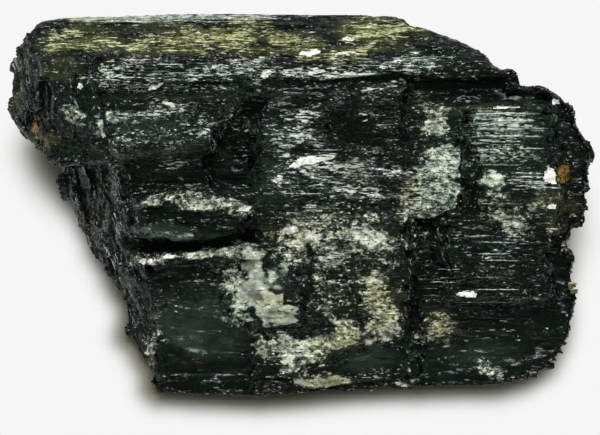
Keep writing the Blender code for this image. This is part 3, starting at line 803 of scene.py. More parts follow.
def growthAt(points, facing, kinds):  # each kind's density, 0 to 1; facing as facingOut gives it
    flat = drawn(points)
    shown = smoothstep(*growing["drawnSide"], facing)
    wobble = ripple(points, growing["wobble"], 3.0) + ripple(points, growing["fineWobble"], 9.0)
    grown = {}
    for kind in kinds:
        density, size = growth[kind]
        seed = 13.0 + 7 * list(growth).index(kind)
        hidden = density * smoothstep(*growing["hiddenEdge"], ripple(points, (1, size), seed))
        grown[kind] = shown * patchDensity(flat, kind, wobble) + (1 - shown) * hidden
    return grown


def markStone(obj):
    points, normals = pointsOf(obj), smoothNormals(obj)
    marks = growthAt(points, facingOut(normals), growth)
    wander = wandered(drawn(points))
    clean = np.ones(len(points))
    for width, _, line in cracks.values():
        bare, full = growing["crackFloor"] * width, width + growing["crackEdge"]
        clean = np.minimum(clean, smoothstep(bare, full, distanceTo(wander, line)))
    clean = np.where(facingOut(normals) > 0, clean, 1)
    for kind in ("crust", "streak", "line", "mica", "quartz", "rust"):  # nothing grows in the cracks
        marks[kind] *= clean
    hackle = smoothstep(*growing["hackle"], np.abs(normals[:, 0]))
    marks["hackle"] = np.maximum(hackle, marks["broken"])
    for kind, values in marks.items():
        mark(obj.data, kind, values)


def addNode(tree, kind, sockets=None, **settings):
    node = tree.nodes.new(kind)
    for name, value in settings.items():
        setattr(node, name, value)
    for name, value in (sockets or {}).items():
        if isinstance(value, bpy.types.NodeSocket):
            tree.links.new(value, node.inputs[name])
        else:
            node.inputs[name].default_value = value
    return node


def newGroup(name, inputs, outputs):
    tree = bpy.data.node_groups.new(name, "ShaderNodeTree")
    for label, (kind, default) in inputs.items():
        socket = tree.interface.new_socket(label, in_out="INPUT", socket_type="NodeSocket" + kind)
        if default is not None:
            socket.default_value = default
    for label, kind in outputs.items():
        tree.interface.new_socket(label, in_out="OUTPUT", socket_type="NodeSocket" + kind)
    return tree, tree.nodes.new("NodeGroupInput").outputs, tree.nodes.new("NodeGroupOutput").inputs


def useGroup(tree, group, sockets):
    return addNode(tree, "ShaderNodeGroup", sockets, node_tree=group).outputs


def attributeOf(tree, name):
    return addNode(tree, "ShaderNodeAttribute", attribute_name=name).outputs["Fac"]


def noiseOf(tree, place, scale, detail, roughness=0.5, distortion=0.0):
    sockets = {
        "Vector": place,
        "Scale": scale,
        "Detail": detail,
        "Roughness": roughness,
        "Distortion": distortion,
    }
    return addNode(tree, "ShaderNodeTexNoise", sockets).outputs["Fac"]


def mapRange(tree, value, low, high, least=0.0, most=1.0):
    sockets = {"Value": value, "From Min": low, "From Max": high, "To Min": least, "To Max": most}
    return addNode(tree, "ShaderNodeMapRange", sockets).outputs[0]


def math2(tree, operation, a, b, clamp=False):
    return addNode(tree, "ShaderNodeMath", {0: a, 1: b}, operation=operation, use_clamp=clamp).outputs[0]


def multiplyAdd(tree, value, factor, rest, clamp=False):
    sockets = {0: value, 1: factor, 2: rest}
    return addNode(tree, "ShaderNodeMath", sockets, operation="MULTIPLY_ADD", use_clamp=clamp).outputs[0]


def vectorMath(tree, operation, a, b):
    made = addNode(tree, "ShaderNodeVectorMath", {0: a, 1: b}, operation=operation).outputs
    return made["Value"] if operation == "DOT_PRODUCT" else made["Vector"]


def blend(tree, share, a, b, kind="MIX"):  # colour a where share is 0, b (or a times b) where it is 1
    a, b = (value if isinstance(value, bpy.types.NodeSocket) else (*value, 1) for value in (a, b))
    mixed = addNode(tree, "ShaderNodeMix", {0: share, 6: a, 7: b}, data_type="RGBA", blend_type=kind)
    return mixed.outputs[2]


speckleForm = {
    "fine": (1.0, 0.74, 0.35),  # scale, roughness and distortion of the noise that specks are cut from
    "broken": (0.9, 6.0, 0.65),  # scale, detail and roughness of what makes them uneven in tone
    "clump": (0.17, 2.0),  # scale and detail of what gathers them in clumps
    "rim": 0.715,  # height of the fine noise where specks start at no density at all
    "onset": 12.0,  # how soon a low density lets them show
    "darken": 1.4,  # power that keeps their rims dark
}


def speckleGroup():  # irregular specks, in clumps, that fill a share Density of the surface
    tree, given, made = newGroup(
        "speckle",
        {
            "Place": ("Vector", None),
            "Size": ("Vector", (1, 1, 1)),
            "Density": ("Float", 0.5),
            "Detail": ("Float", 2.5),
            "Softness": ("Float", 0.03),
            "Gain": ("Float", 6.0),
            "Spread": ("Float", 1.0),
            "Cover": ("Float", 0.28),
            "Clump": ("Float", 0.5),
        },
        {"Mask": "Float", "Tone": "Float"},
    )
    where = vectorMath(tree, "DIVIDE", given["Place"], given["Size"])
    scale, roughness, distortion = speckleForm["fine"]
    fine = noiseOf(tree, where, scale, given["Detail"], roughness, distortion)
    broken = noiseOf(tree, where, *speckleForm["broken"])
    clump = math2(tree, "SUBTRACT", noiseOf(tree, where, *speckleForm["clump"]), 0.5)
    clump = math2(tree, "MULTIPLY", clump, given["Clump"])
    cover = math2(tree, "MULTIPLY", given["Density"], given["Cover"])
    level = math2(tree, "SUBTRACT", speckleForm["rim"], math2(tree, "ADD", clump, cover))
    above = math2(tree, "SUBTRACT", fine, level)
    mask = math2(tree, "MULTIPLY", above, math2(tree, "DIVIDE", 1.0, given["Softness"]), clamp=True)
    some = math2(tree, "MULTIPLY", given["Density"], speckleForm["onset"], clamp=True)
    tree.links.new(math2(tree, "MULTIPLY", mask, some), made["Mask"])
    lift = math2(tree, "MULTIPLY", math2(tree, "SUBTRACT", broken, 0.5), given["Spread"])
    tone = multiplyAdd(tree, above, given["Gain"], lift, clamp=True)
    tree.links.new(math2(tree, "POWER", tone, speckleForm["darken"]), made["Tone"])
    return tree


def striationGroup():  # fine ridges along the crystal's length; Height in mm
    tree, given, made = newGroup(
        "striation",
        {
            "Place": ("Vector", None),
            "Length": ("Float", 9.0),
            "Pitch": ("Float", 0.28),
            "Depth": ("Float", 0.03),
        },
        {"Height": "Float"},
    )
    size = addNode(tree, "ShaderNodeCombineXYZ", {0: given["Length"], 1: given["Pitch"], 2: given["Pitch"]})
    fine = noiseOf(tree, vectorMath(tree, "DIVIDE", given["Place"], size.outputs[0]), 1.0, 2.0)
    tree.links.new(math2(tree, "MULTIPLY", fine, given["Depth"]), made["Height"])
    return tree


def facetGroup():  # little flat facets, each tilted its own way; Height in mm
    tree, given, made = newGroup(
        "facets",
        {"Place": ("Vector", None), "Size": ("Vector", (1, 1, 1)), "Slope": ("Float", 0.4)},
        {"Height": "Float", "Chance": "Float"},
    )
    where = vectorMath(tree, "DIVIDE", given["Place"], given["Size"])
    cells = addNode(tree, "ShaderNodeTexVoronoi", {"Vector": where, "Scale": 1.0}).outputs
    offset = vectorMath(tree, "SUBTRACT", where, cells["Position"])
    inMm = vectorMath(tree, "MULTIPLY", offset, given["Size"])
    lean = vectorMath(tree, "SUBTRACT", cells["Color"], (0.5, 0.5, 0.5))
    rise = vectorMath(tree, "DOT_PRODUCT", inMm, lean)
    slope = math2(tree, "MULTIPLY", given["Slope"], 2.0)
    tree.links.new(math2(tree, "MULTIPLY", rise, slope), made["Height"])
    chance = addNode(tree, "ShaderNodeSeparateColor", {"Color": cells["Color"]})
    tree.links.new(chance.outputs[0], made["Chance"])
    return tree


def placeOf(tree):  # where a point is, in mm
    where = addNode(tree, "ShaderNodeTexCoord").outputs["Object"]
    return vectorMath(tree, "MULTIPLY", where, (1000, 1000, 1000))


def newMaterial(name):
    material = bpy.data.materials.new(name)
    material.use_nodes = True
    return material, material.node_tree, material.node_tree.nodes["Principled BSDF"]


def bumpFrom(tree, shader, height):  # height in mm
    relief = addNode(tree, "ShaderNodeBump", {"Strength": 1.0, "Distance": mm, "Height": height})
    tree.links.new(relief.outputs[0], shader.inputs["Normal"])


schorlFinish = {
    "black": (0.0019, 0.0036, 0.0023),
    "blackVaried": (0.0042, 0.0090, 0.0062),
    # the teal-grey haze of the painted sheen
    "paintedSheen": (0.041, 0.068, 0.054),
    # the streaks' dashes: partly dust in the grooves, partly painted glints
    "streakDim": (0.028, 0.046, 0.036),
    "streakBright": (0.87, 0.93, 0.85),
    # the colours of the lines, which are painted glints
    "lineDim": (0.060, 0.085, 0.072),
    "lineBright": (0.72, 0.84, 0.77),
    "crustGround": (0.010, 0.014, 0.008),
    "crustDim": (0.060, 0.085, 0.050),
    "crustBright": (0.84, 0.91, 0.75),
    # what specks turn to under the painted sheen
    "paintedSheenTint": (0.87, 0.97, 1.0),
    "warmTint": (0.98, 0.90, 0.50),
    "micaGround": (0.020, 0.022, 0.006),
    "micaGlow": (0.128, 0.150, 0.030),
    "micaDim": (0.13, 0.155, 0.034),
    "micaBright": (0.84, 0.88, 0.50),
    "rustDim": (0.045, 0.026, 0.006),
    "rustBright": (0.50, 0.31, 0.07),
    # milky quartz, and the pale painted reflection along the top rim
    "quartzDim": (0.20, 0.24, 0.20),
    "quartzBright": (0.68, 0.75, 0.59),
    "snapped": (0.006, 0.0125, 0.0095),
    # the specks on the hackled breaks are painted glints, slanted along the broken columns
    "hackleDim": (0.026, 0.043, 0.035),
    "hackleBright": (0.62, 0.75, 0.70),
    "roughness": 0.12,
    "facetRoughness": 0.24,  # what the dullest of the facets adds to it
    "dullRoughness": 0.06,  # what a dull slab of the breaks adds, and the share of slabs that are dull
    "dullShare": 0.4,
    "coveredRoughness": 0.5,
    "ior": 1.52,
    # Specks: mm along x, y and z, how broken up, how soft, how fast they brighten, how uneven they are,
    # how much they cover and how clumped they are.
    "streakGrain": (1.2, 0.36, 0.36, 3.5, 0.030, 8.0, 2.0, 0.32, 0.60),
    "lineGrain": (14, 0.32, 0.32, 1.5, 0.025, 10.0, 1.6, 0.26, 0.30),
    "crustGrain": (0.80, 0.56, 0.56, 5.0, 0.035, 5.4, 4.4, 0.34, 0.45),
    "micaGrain": (1.7, 0.33, 0.33, 5.0, 0.035, 6.0, 3.4, 0.265, 0.62),
    "rustGrain": (0.9, 0.7, 0.7, 2.5, 0.030, 6.0, 1.5, 0.26, 0.50),
    # grain of the painted glints on the breaks
    "hackleGrain": (0.34, 3.0, 0.34, 3.0, 0.025, 9.0, 2.2, 0.10, 0.40),
    # Noise: how many to the mm, how detailed.
    "cloud": (0.25, 4.0),  # varies the black and the warmth of the crust
    "bands": (1.0, 3.0),  # varies the mica's ground
    "milk": (0.7, 5.0),  # varies the quartz
    "drift": (0.5, 2.0),  # varies the slope of the facets
    "bandStretch": (0.12, 0.55, 0.55),
    "bandEdge": (0.35, 0.65),
    "warmEdge": (0.52, 0.66, 0.36),  # the crust turns warm between the first two, by the third
    "calmed": 0.8,  # share of the streaks and lines that calm patches lose
    "micaCover": 0.9,
    "crustCover": 0.8,
    "milkEdge": (0.36, 0.62),
    "quartzRagged": (0.25, 0.35, 0.35),  # how far specks and milk widen it, and how far it shrinks first
    "quartzEdge": (0.22, 0.48),
    "striation": {"Length": 9.0, "Pitch": 0.28, "Depth": 0.03},  # mm
    "facetSize": (0.55, 0.20, 0.20),
    "facetSlope": (0.36, 0.64),  # where nothing shines, where the streaks are
    "facetDrift": 0.5,  # how much drift adds or takes
    "facetOnBreaks": 0.75,  # share of the slope that the hackled breaks lose
    "chipSize": (2.6, 1.1, 1.1),
    "chipSlope": 0.22,
    "slabSize": (1.5, 8.0, 1.4),  # mm across, along and into the breaks, where the surface is snapped off
    "slabTurn": (-30, 0, -22),  # degrees from the row frame to the way they run
    "slabSlope": 0.7,
    "coverHeight": 0.05,  # mm that specks of crust and mica stand up, and what bright crust adds
    "crustHeight": 0.08,
}


def schorlSpecks(tree, speckle, place, slanted, density):
    specks = {}
    # on the hackled breaks the specks are painted glints
    for kind in ("hackle", "crust", "streak", "line", "mica", "rust"):
        *size, detail, softness, gain, spread, cover, clump = schorlFinish[kind + "Grain"]
        sockets = {
            "Place": slanted if kind == "hackle" else place,
            "Size": size,
            "Density": density[kind],
            "Detail": detail,
            "Softness": softness,
            "Gain": gain,
            "Spread": spread,
            "Cover": cover,
            "Clump": clump,
        }
        specks[kind] = useGroup(tree, speckle, sockets)
    return specks


def schorlColour(tree, place, density, specks):
    finish = schorlFinish
    cloud = noiseOf(tree, place, *finish["cloud"])
    layered = vectorMath(tree, "MULTIPLY", place, finish["bandStretch"])
    bands = mapRange(tree, noiseOf(tree, layered, *finish["bands"]), *finish["bandEdge"])
    low, high, most = finish["warmEdge"]
    warm = math2(tree, "ADD", mapRange(tree, cloud, low, high, most=most), density["mica"])
    # no warmth where the sheen is painted
    warm = math2(tree, "SUBTRACT", warm, density["paintedSheen"], clamp=True)

    colour = blend(tree, cloud, finish["black"], finish["blackVaried"])
    # painted sheen: where it is marked, the black lightens towards a teal-grey haze
    colour = blend(tree, math2(tree, "MULTIPLY", density["paintedSheen"], cloud), colour, finish["paintedSheen"])
    colour = blend(tree, math2(tree, "MULTIPLY", density["hackle"], cloud), colour, finish["snapped"])
    mica = blend(tree, bands, finish["micaGround"], finish["micaGlow"])
    colour = blend(tree, math2(tree, "MULTIPLY", density["mica"], finish["micaCover"]), colour, mica)
    crust = math2(tree, "MULTIPLY", density["crust"], finish["crustCover"])
    colour = blend(tree, crust, colour, finish["crustGround"])
    for kind, made in specks.items():
        tone = blend(tree, made["Tone"], finish[kind + "Dim"], finish[kind + "Bright"])
        # specks under the painted sheen turn cold
        tone = blend(tree, density["paintedSheen"], tone, finish["paintedSheenTint"], "MULTIPLY")
        if kind == "crust":
            tone = blend(tree, warm, tone, finish["warmTint"], "MULTIPLY")
        colour = blend(tree, made["Mask"], colour, tone)

    # milky quartz, and the painted reflection along the top rim
    milk = mapRange(tree, noiseOf(tree, place, *finish["milk"]), *finish["milkEdge"])
    bySpecks, byMilk, shrunk = finish["quartzRagged"]
    ragged = multiplyAdd(tree, specks["crust"]["Tone"], bySpecks, math2(tree, "MULTIPLY", milk, byMilk))
    fill = math2(tree, "ADD", density["quartz"], math2(tree, "SUBTRACT", ragged, shrunk))
    quartz = blend(tree, milk, finish["quartzDim"], finish["quartzBright"])
    quartz = blend(tree, density["mica"], quartz, finish["warmTint"], "MULTIPLY")
    return blend(tree, mapRange(tree, fill, *finish["quartzEdge"]), colour, quartz)


def schorlMaterial(speckle, striation, facets):
    finish = schorlFinish
    material, tree, shader = newMaterial("schorl")
    place = placeOf(tree)
    turn = [math.radians(angle) for angle in finish["slabTurn"]]
    slanted = addNode(tree, "ShaderNodeMapping", {"Vector": place, "Rotation": turn}).outputs[0]
    density = {kind: attributeOf(tree, kind) for kind in (*growth, "hackle")}
    rest = math2(tree, "SUBTRACT", 1.0, math2(tree, "MULTIPLY", density["calm"], finish["calmed"]))
    for kind in ("line", "streak"):
        density[kind] = math2(tree, "MULTIPLY", density[kind], rest)
    specks = schorlSpecks(tree, speckle, place, slanted, density)
    tree.links.new(schorlColour(tree, place, density, specks), shader.inputs["Base Color"])

    calm, lively = finish["facetSlope"]
    drift = finish["facetDrift"]
    liveliness = math2(tree, "MAXIMUM", density["streak"], density["mica"])
    liveliness = math2(tree, "SUBTRACT", liveliness, density["calm"])
    slope = multiplyAdd(tree, liveliness, lively - calm, calm - drift / 2)
    slope = multiplyAdd(tree, noiseOf(tree, place, *finish["drift"]), drift, slope)
    slope = math2(tree, "MULTIPLY", slope, rest)
    onBreaks = multiplyAdd(tree, density["hackle"], -finish["facetOnBreaks"], 1.0)
    slope = math2(tree, "MULTIPLY", slope, onBreaks)
    slabSlope = math2(tree, "MULTIPLY", density["hackle"], finish["slabSlope"])
    ridges = useGroup(tree, striation, {"Place": place, **finish["striation"]})["Height"]
    small = useGroup(tree, facets, {"Place": place, "Size": finish["facetSize"], "Slope": slope})
    large = useGroup(tree, facets, {"Place": place, "Size": finish["chipSize"], "Slope": finish["chipSlope"]})
    slabs = useGroup(tree, facets, {"Place": slanted, "Size": finish["slabSize"], "Slope": slabSlope})

    covered = math2(tree, "MAXIMUM", specks["crust"]["Mask"], specks["mica"]["Mask"])
    micaCover = math2(tree, "MULTIPLY", density["mica"], finish["micaCover"])
    mirrors = math2(tree, "MULTIPLY", small["Chance"], finish["facetRoughness"])
    dull = math2(tree, "LESS_THAN", slabs["Chance"], finish["dullShare"])
    dull = math2(tree, "MULTIPLY", dull, density["hackle"])
    bare = math2(tree, "ADD", mirrors, finish["roughness"])
    bare = multiplyAdd(tree, dull, finish["dullRoughness"], bare)
    covering = math2(tree, "MAXIMUM", covered, micaCover)
    rough = mapRange(tree, covering, 0.0, 1.0, bare, finish["coveredRoughness"])
    tree.links.new(rough, shader.inputs["Roughness"])

    height = math2(tree, "ADD", ridges, math2(tree, "ADD", small["Height"], large["Height"]))
    height = math2(tree, "ADD", height, slabs["Height"])
    height = multiplyAdd(tree, covered, finish["coverHeight"], height)
    bright = math2(tree, "MULTIPLY", specks["crust"]["Tone"], covered)
    bumpFrom(tree, shader, multiplyAdd(tree, bright, finish["crustHeight"], height))
    shader.inputs["IOR"].default_value = finish["ior"]
    return material


# Plates and lumps that lie on the drawn side, the whitest partly pale mica and partly painted glints: (rise
# of the middle in mm, lean towards the top in degrees, tone from 0 to 1, outline).
laid = {
    "micaPlatesAndPaintedGlints": {
        "slantPlate": (0.38, 14, 0.5, ((-1.6, 6.9), (-0.5, 8.2), (1.6, 8.8), (4.8, 9.1), (5.2, 8.4),
                                       (3, 7.6), (0.4, 7.1), (-0.7, 6.6))),
        "slantSplinter": (0.35, 14, 0.4, ((3, 7.9), (4.1, 7.5), (4.5, 6.4), (3.7, 7.1))),
        "underPlate": (0.22, 12, 0.4, ((-3.8, 4.9), (-3.2, 5.7), (-1.9, 5.8), (-2.2, 5.1),
                                       (-3.3, 4.6))),
        "bandLens": (0.2, 4, 0.5, ((-0.4, 22.3), (0.4, 23.1), (1.9, 23.4), (3.3, 23.1), (2.5, 22.4),
                                   (0.8, 22))),
        "bandWedge": (0.2, 4, 0.5, ((4.2, 22.4), (5.5, 22.9), (7.9, 23.1), (7.7, 22.5), (5.9, 22.1))),
        "bandTop": (0.2, 0, 0.5, ((5.5, 24), (5.9, 25.1), (7.1, 25.4), (7.8, 24.9), (7.1, 24.2))),
        "facetPlate": (0.1, 8, 0.2, ((-5.5, 19.4), (-5.2, 20.2), (-4.7, 20.5), (-4.4, 21.2),
                                     (-3.7, 20.5), (-3.2, 20.6), (-3.3, 19.8), (-4.1, 19.5),
                                     (-4.7, 19.1))),
        "facetPlateEast": (0.1, 8, 0.2, ((-2.5, 19.5), (-2.1, 20.1), (-1.4, 19.8), (-1, 20.2),
                                         (-0.1, 19.9), (-0.5, 19.5), (-1.5, 19.2))),
        "brightShelf": (0.1, 10, 0.5, ((10.7, 20.5), (11.1, 21), (12.6, 21.2), (12.9, 20.8),
                                       (11.8, 20.3))),
        "brightShelfMid": (0.1, 10, 0.5, ((12.3, 21.4), (13.4, 21.9), (14.2, 21.7), (13.7, 21.3))),
        "brightShelfEast": (0.1, 10, 0.5, ((13.7, 20.8), (14.8, 21.4), (15.9, 21.4), (15.2, 20.8))),
        "shoulderPlate": (0.1, 8, 0, ((-21, 17.3), (-20.6, 18.4), (-19.5, 18.8), (-18.5, 18.6),
                                      (-19.2, 17.7))),
        "westDot": (0.1, 8, 0.5, ((-30.7, 17.7), (-30.6, 18.6), (-30, 18.6), (-29.7, 17.9),
                                  (-30.1, 17.5))),
        "blockPlate": (0.1, 0, -0.1, ((-24.8, 10.5), (-24.4, 11), (-23.7, 10.9), (-23.2, 11.2),
                                      (-22.9, 10.6), (-23.8, 10.3))),
        "blockPlateHigh": (0.1, 10, 0, ((-19.2, 15.5), (-18.4, 16.2), (-17.9, 15.7), (-17.1, 15.7),
                                        (-16.7, 14.9), (-17.7, 15.1))),
        "heap": (0.3, 14, 0.5, ((21, -10.9), (21.6, -10.1), (23, -9.7), (24.4, -10.3), (24.2, -10.9))),
        "eastLine": (0.1, 16, 0.5, ((26.3, 14.9), (26.4, 15.3), (30.1, 15.3), (30.3, 15))),
        "rimPlate": (0.2, 10, 0.5, ((34.5, 15.5), (34.7, 16.4), (35.6, 16.2), (35.9, 15.5))),
        "rustPlate": (0.3, 12, 0.8, ((33.3, 4.7), (33.3, 6.9), (34.1, 7.3), (35.2, 7.1), (35.1, 5.7),
                                     (35.2, 4.6))),
        "eastPlate": (0.2, 12, 0.5, ((33.8, 1.2), (34, 1.8), (35.2, 1.8), (35.1, 1.2))),
        "knobPlate": (0.1, 5, 0.5, ((-39, 16), (-38.8, 16.5), (-38.5, 16.1))),
        "knobPlateLow": (0.1, 5, 0.5, ((-37.4, 16.2), (-37, 16.6), (-36.9, 16))),
        "creamWest": (0.3, 6, 0.1, ((-3, -2), (-2.2, -1.2), (-0.5, -1.2), (0, -1.8), (-1.4, -2.5))),
        "creamMid": (0.3, 6, 0.1, ((0.7, -2.9), (1.1, -2), (3, -2.1), (3.3, -2.9), (1.9, -3.6))),
        "ledgeLip": (0.2, 12, 0.5, ((-22.3, -6.1), (-21.2, -5.5), (-20.1, -5.5), (-20.3, -6.4),
                                    (-21.5, -6.6))),
        "ledgeLipEast": (0.2, 12, 0.5, ((-19.2, -5.5), (-18.1, -4.7), (-16.7, -4.9), (-17, -5.7))),
        "stripEnd": (0.2, 6, 0.5, ((-8.9, 0.8), (-8.2, 1.7), (-6.6, 1.6), (-6.9, 0.6))),
        "westColumn": (0.1, 6, 0.5, ((-27.8, 13.2), (-27.4, 13.1), (-27.3, 12), (-27.7, 12.1))),
        "westColumnLow": (0.1, 6, 0.5, ((-27.3, 11.4), (-26.9, 11.7), (-26.4, 11), (-27, 10.9))),
    },
    # schorl plates whose grey-teal colour is a painted sheen
    "schorlPlatesPaintedSheen": {
        "shard": (0.25, 4, 0.5, ((-24.4, -0.9), (-21.9, -1), (-16.4, -2.4), (-12.7, -2.8),
                                 (-15.1, -3.5), (-20.6, -2.8), (-23.6, -2.1))),
        "westBreakPlate": (0.2, 8, 0.5, ((-26.3, 3.1), (-26.2, 5.4), (-25.2, 5.3), (-25.1, 2.9))),
        "westBreakLow": (0.2, 8, 0.5, ((-27.7, -1.7), (-27.4, 0.9), (-26.3, 0.6), (-26.6, -1.8))),
    },
    "amberGrains": {
        "amber": (0.8, 0, 0.5, ((35.1, 4.9), (35.1, 6.8), (36, 7.5), (37.1, 6.9), (37.3, 5.4),
                                (36.4, 4.6))),
        "knobAmber": (0.5, 0, 0.5, ((-37.4, 11.9), (-37.1, 13.2), (-36.6, 13.2), (-36.3, 12.4),
                                    (-36.4, 11.6))),
    },
}
laidShape = {  # mm
    "cell": 0.14,
    "depth": 0.45,
    "proud": 0.03,
    "edge": (0.22, (1.6, 0.7, 1)),  # how far the outline wanders, and its size along u, v and w
    "fineEdge": (0.11, (0.6, 0.3, 1)),
    "bumps": (0.07, (1.1, 0.6, 1)),
    "dome": (-0.3, 2.2),  # from the outline inwards, over which the middle rises
    "hinge": 0.3,  # how far above its middle the lean starts
    "smoothing": 4,  # rounds over the ground that it lies on
}
lookDown = 30  # mm out of the drawing, from where depths are measured


def treeOf(obj):
    return BVHTree.FromPolygons(pointsOf(obj).tolist(), [tuple(p.vertices) for p in obj.data.polygons])


def towardsRow(flat):  # the row frame's point for u, v and w in mm
    toRow = np.array(faceToRow())
    return flat * mm @ toRow[:3, :3].T + toRow[:3, 3]


def depthsUnder(tree, flat):  # how far out of the drawing the surface lies under each (u, v), in mm
    out = Vector(outOfFace())
    starts = towardsRow(np.column_stack([flat, np.full(len(flat), float(lookDown))]))
    hits = [tree.ray_cast(Vector(start), -out)[3] for start in starts]
    return lookDown - np.array([np.nan if hit is None else hit / mm for hit in hits])


def intoRow(bm, name):  # what was drawn in mm, as an object in the row frame
    bmesh.ops.recalc_face_normals(bm, faces=bm.faces)
    bmesh.ops.transform(bm, matrix=faceToRow() @ Matrix.Scale(mm, 4), verts=bm.verts)
    return objectFrom(bm, name)


def layOn(tree, bm, rise, lean, tone, corners, seed):
    corners = np.array(corners)
    low, high = corners.min(axis=0) - 1, corners.max(axis=0) + 1
    u, v = (np.arange(a, b, laidShape["cell"]) for a, b in zip(low, high))
    flat = np.stack(np.meshgrid(u, v, indexing="ij"), axis=-1)
    shape = flat.shape[:2]
    ground = depthsUnder(tree, flat.reshape(-1, 2)).reshape(shape)
    ground = np.where(np.isnan(ground), np.nanmedian(ground), ground)
    for _ in range(laidShape["smoothing"]):
        near = [np.roll(ground, step, axis) for axis in (0, 1) for step in (1, -1)]
        ground = (ground + near[0] + near[1] + near[2] + near[3]) / 5
    solid = np.column_stack([flat.reshape(-1, 2), np.zeros(flat[..., 0].size)]) * mm
    ragged = ripple(solid, laidShape["edge"], seed) + ripple(solid, laidShape["fineEdge"], seed)
    inside = (signedDistance(flat.reshape(-1, 2), corners) + ragged).reshape(shape)
    middle = corners.mean(axis=0)
    dome = rise * smoothstep(*laidShape["dome"], inside)
    dome = dome + ripple(solid, laidShape["bumps"], seed + 5).reshape(shape)
    slope = (middle[1] - flat[..., 1] + laidShape["hinge"]) * math.tan(math.radians(lean))
    top = ground + laidShape["proud"] + dome + slope
    keep = inside > 0
    cells = keep[:-1, :-1] & keep[1:, :-1] & keep[1:, 1:] & keep[:-1, 1:]
    verts = {}

    def vert(i, j):
        if (i, j) not in verts:
            verts[i, j] = bm.verts.new((*flat[i, j], top[i, j]))
            verts[i, j][bm.verts.layers.float["tone"]] = tone
        return verts[i, j]

    faces = []
    for i, j in np.argwhere(cells):
        faces.append(bm.faces.new((vert(i, j), vert(i + 1, j), vert(i + 1, j + 1), vert(i, j + 1))))
    made = bmesh.ops.extrude_face_region(bm, geom=faces, use_keep_orig=True)
    for g in made["geom"]:
        if isinstance(g, bmesh.types.BMVert):
            i, j = (int(round((g.co[axis] - low[axis]) / laidShape["cell"])) for axis in (0, 1))
            g.co.z = ground[i, j] - laidShape["depth"]


def makeLaid(tree, kind, seed):
    bm = bmesh.new()
    bm.verts.layers.float.new("tone")
    for number, (rise, lean, tone, corners) in enumerate(laid[kind].values()):
        layOn(tree, bm, rise, lean, tone, corners, seed + number * 3.7)
    return intoRow(bm, kind)


# Long thin ridges that stand out of the drawn side, their bright tone a painted glint along the crest, in mm:
# (u and v of the west end, length, half width, tone from 0 to 1).
ridges = {
    "barsTop": (25.6, 14.2, 5.6, 0.13, 1.0),
    "barsBroad": (26.3, 13.2, 5.6, 0.40, 0.6),
    "barsBroadLow": (27.0, 12.6, 4.4, 0.20, 0.9),
    "barsMid": (24.3, 12.1, 6.2, 0.18, 0.85),
    "barsMidLow": (24.0, 11.2, 6.8, 0.19, 0.9),
    "barsFoot": (25.3, 10.4, 4.9, 0.15, 0.7),
    "barsFootEast": (29.5, 9.4, 3.8, 0.10, 0.8),
    "barsLow": (23.3, 8.5, 3.0, 0.11, 0.6),
    "barsLowEast": (28.1, 8.3, 4.4, 0.10, 0.6),
    "barsShelf": (24.0, 7.2, 6.5, 0.12, 0.35),
    "fanTop": (30.0, 6.0, 3.2, 0.13, 0.8),
    "fanHigh": (29.5, 5.5, 3.9, 0.17, 1.0),
    "fanMid": (29.7, 4.9, 3.7, 0.15, 0.9),
    "fanLow": (29.5, 4.3, 3.6, 0.11, 0.75),
    "shelfTop": (24.5, 1.9, 6.0, 0.10, 0.6),
    "shelfLow": (24.0, -3.4, 5.6, 0.09, 0.6),
    "bedHigh": (24.3, -5.0, 4.4, 0.11, 0.75),
    "bedMid": (24.9, -5.9, 5.2, 0.09, 0.6),
    "bedLow": (17.8, -8.9, 3.4, 0.11, 0.6),
    "heapLine": (23.8, -9.9, 6.2, 0.09, 0.65),
    "footLine": (21.5, -11.6, 8.0, 0.08, 0.5),
}

# The ones that aren't named: where they grow, how many, how strictly there, and their size in mm.
ridgeShape = {
    "ridges": {
        "on": "line",
        "count": 300,
        "power": 1.5,
        "facing": 0.6,  # least cosine to the broad face
        "length": (1.0, 4.5),
        "width": (0.04, 0.12),
    },
    "micaThreads": {
        "on": "mica",
        "count": 460,
        "power": 4,
        "facing": 0.3,
        "length": (0.5, 2.4),
        "width": (0.04, 0.13),
    },
}
ridgeForm = {
    "step": 0.28,  # mm from one section to the next
    "proud": 0.05,
    "root": 0.3,
    "sway": 0.10,
    "uneven": (0.6, 1.2),  # how wide a section is, as shares of the ridge's width
    "tips": 0.04,  # share of the length from each tip where the width stops shrinking
    "smoothing": 4,  # rounds over the normals that say where they may grow
}


def ridgeSections(tree, rng, seed, line):  # four corners for each section, or none off the stone
    u, v, length, width = line
    count = max(4, round(length / ridgeForm["step"]))
    share = np.linspace(0, 1, count)
    sway = ridgeForm["sway"] * np.array([noise.noise((u + length * s, v * 3, seed)) for s in share])
    middle = np.column_stack([u + length * share, v + sway])
    ground = depthsUnder(tree, middle)
    if np.isnan(ground).any():
        return []
    taper = np.sqrt(np.sin(math.pi * np.clip(share, ridgeForm["tips"], 1 - ridgeForm["tips"])))
    half = width * taper * rng.uniform(*ridgeForm["uneven"], count)
    sections = []
    for (a, b), depth, reach in zip(middle, ground, half):
        crest = (a, b, depth + ridgeForm["proud"] + reach / 2)
        root = (a, b, depth - ridgeForm["root"])
        sections.append([(a, b - reach, depth), crest, (a, b + reach, depth), root])
    return sections


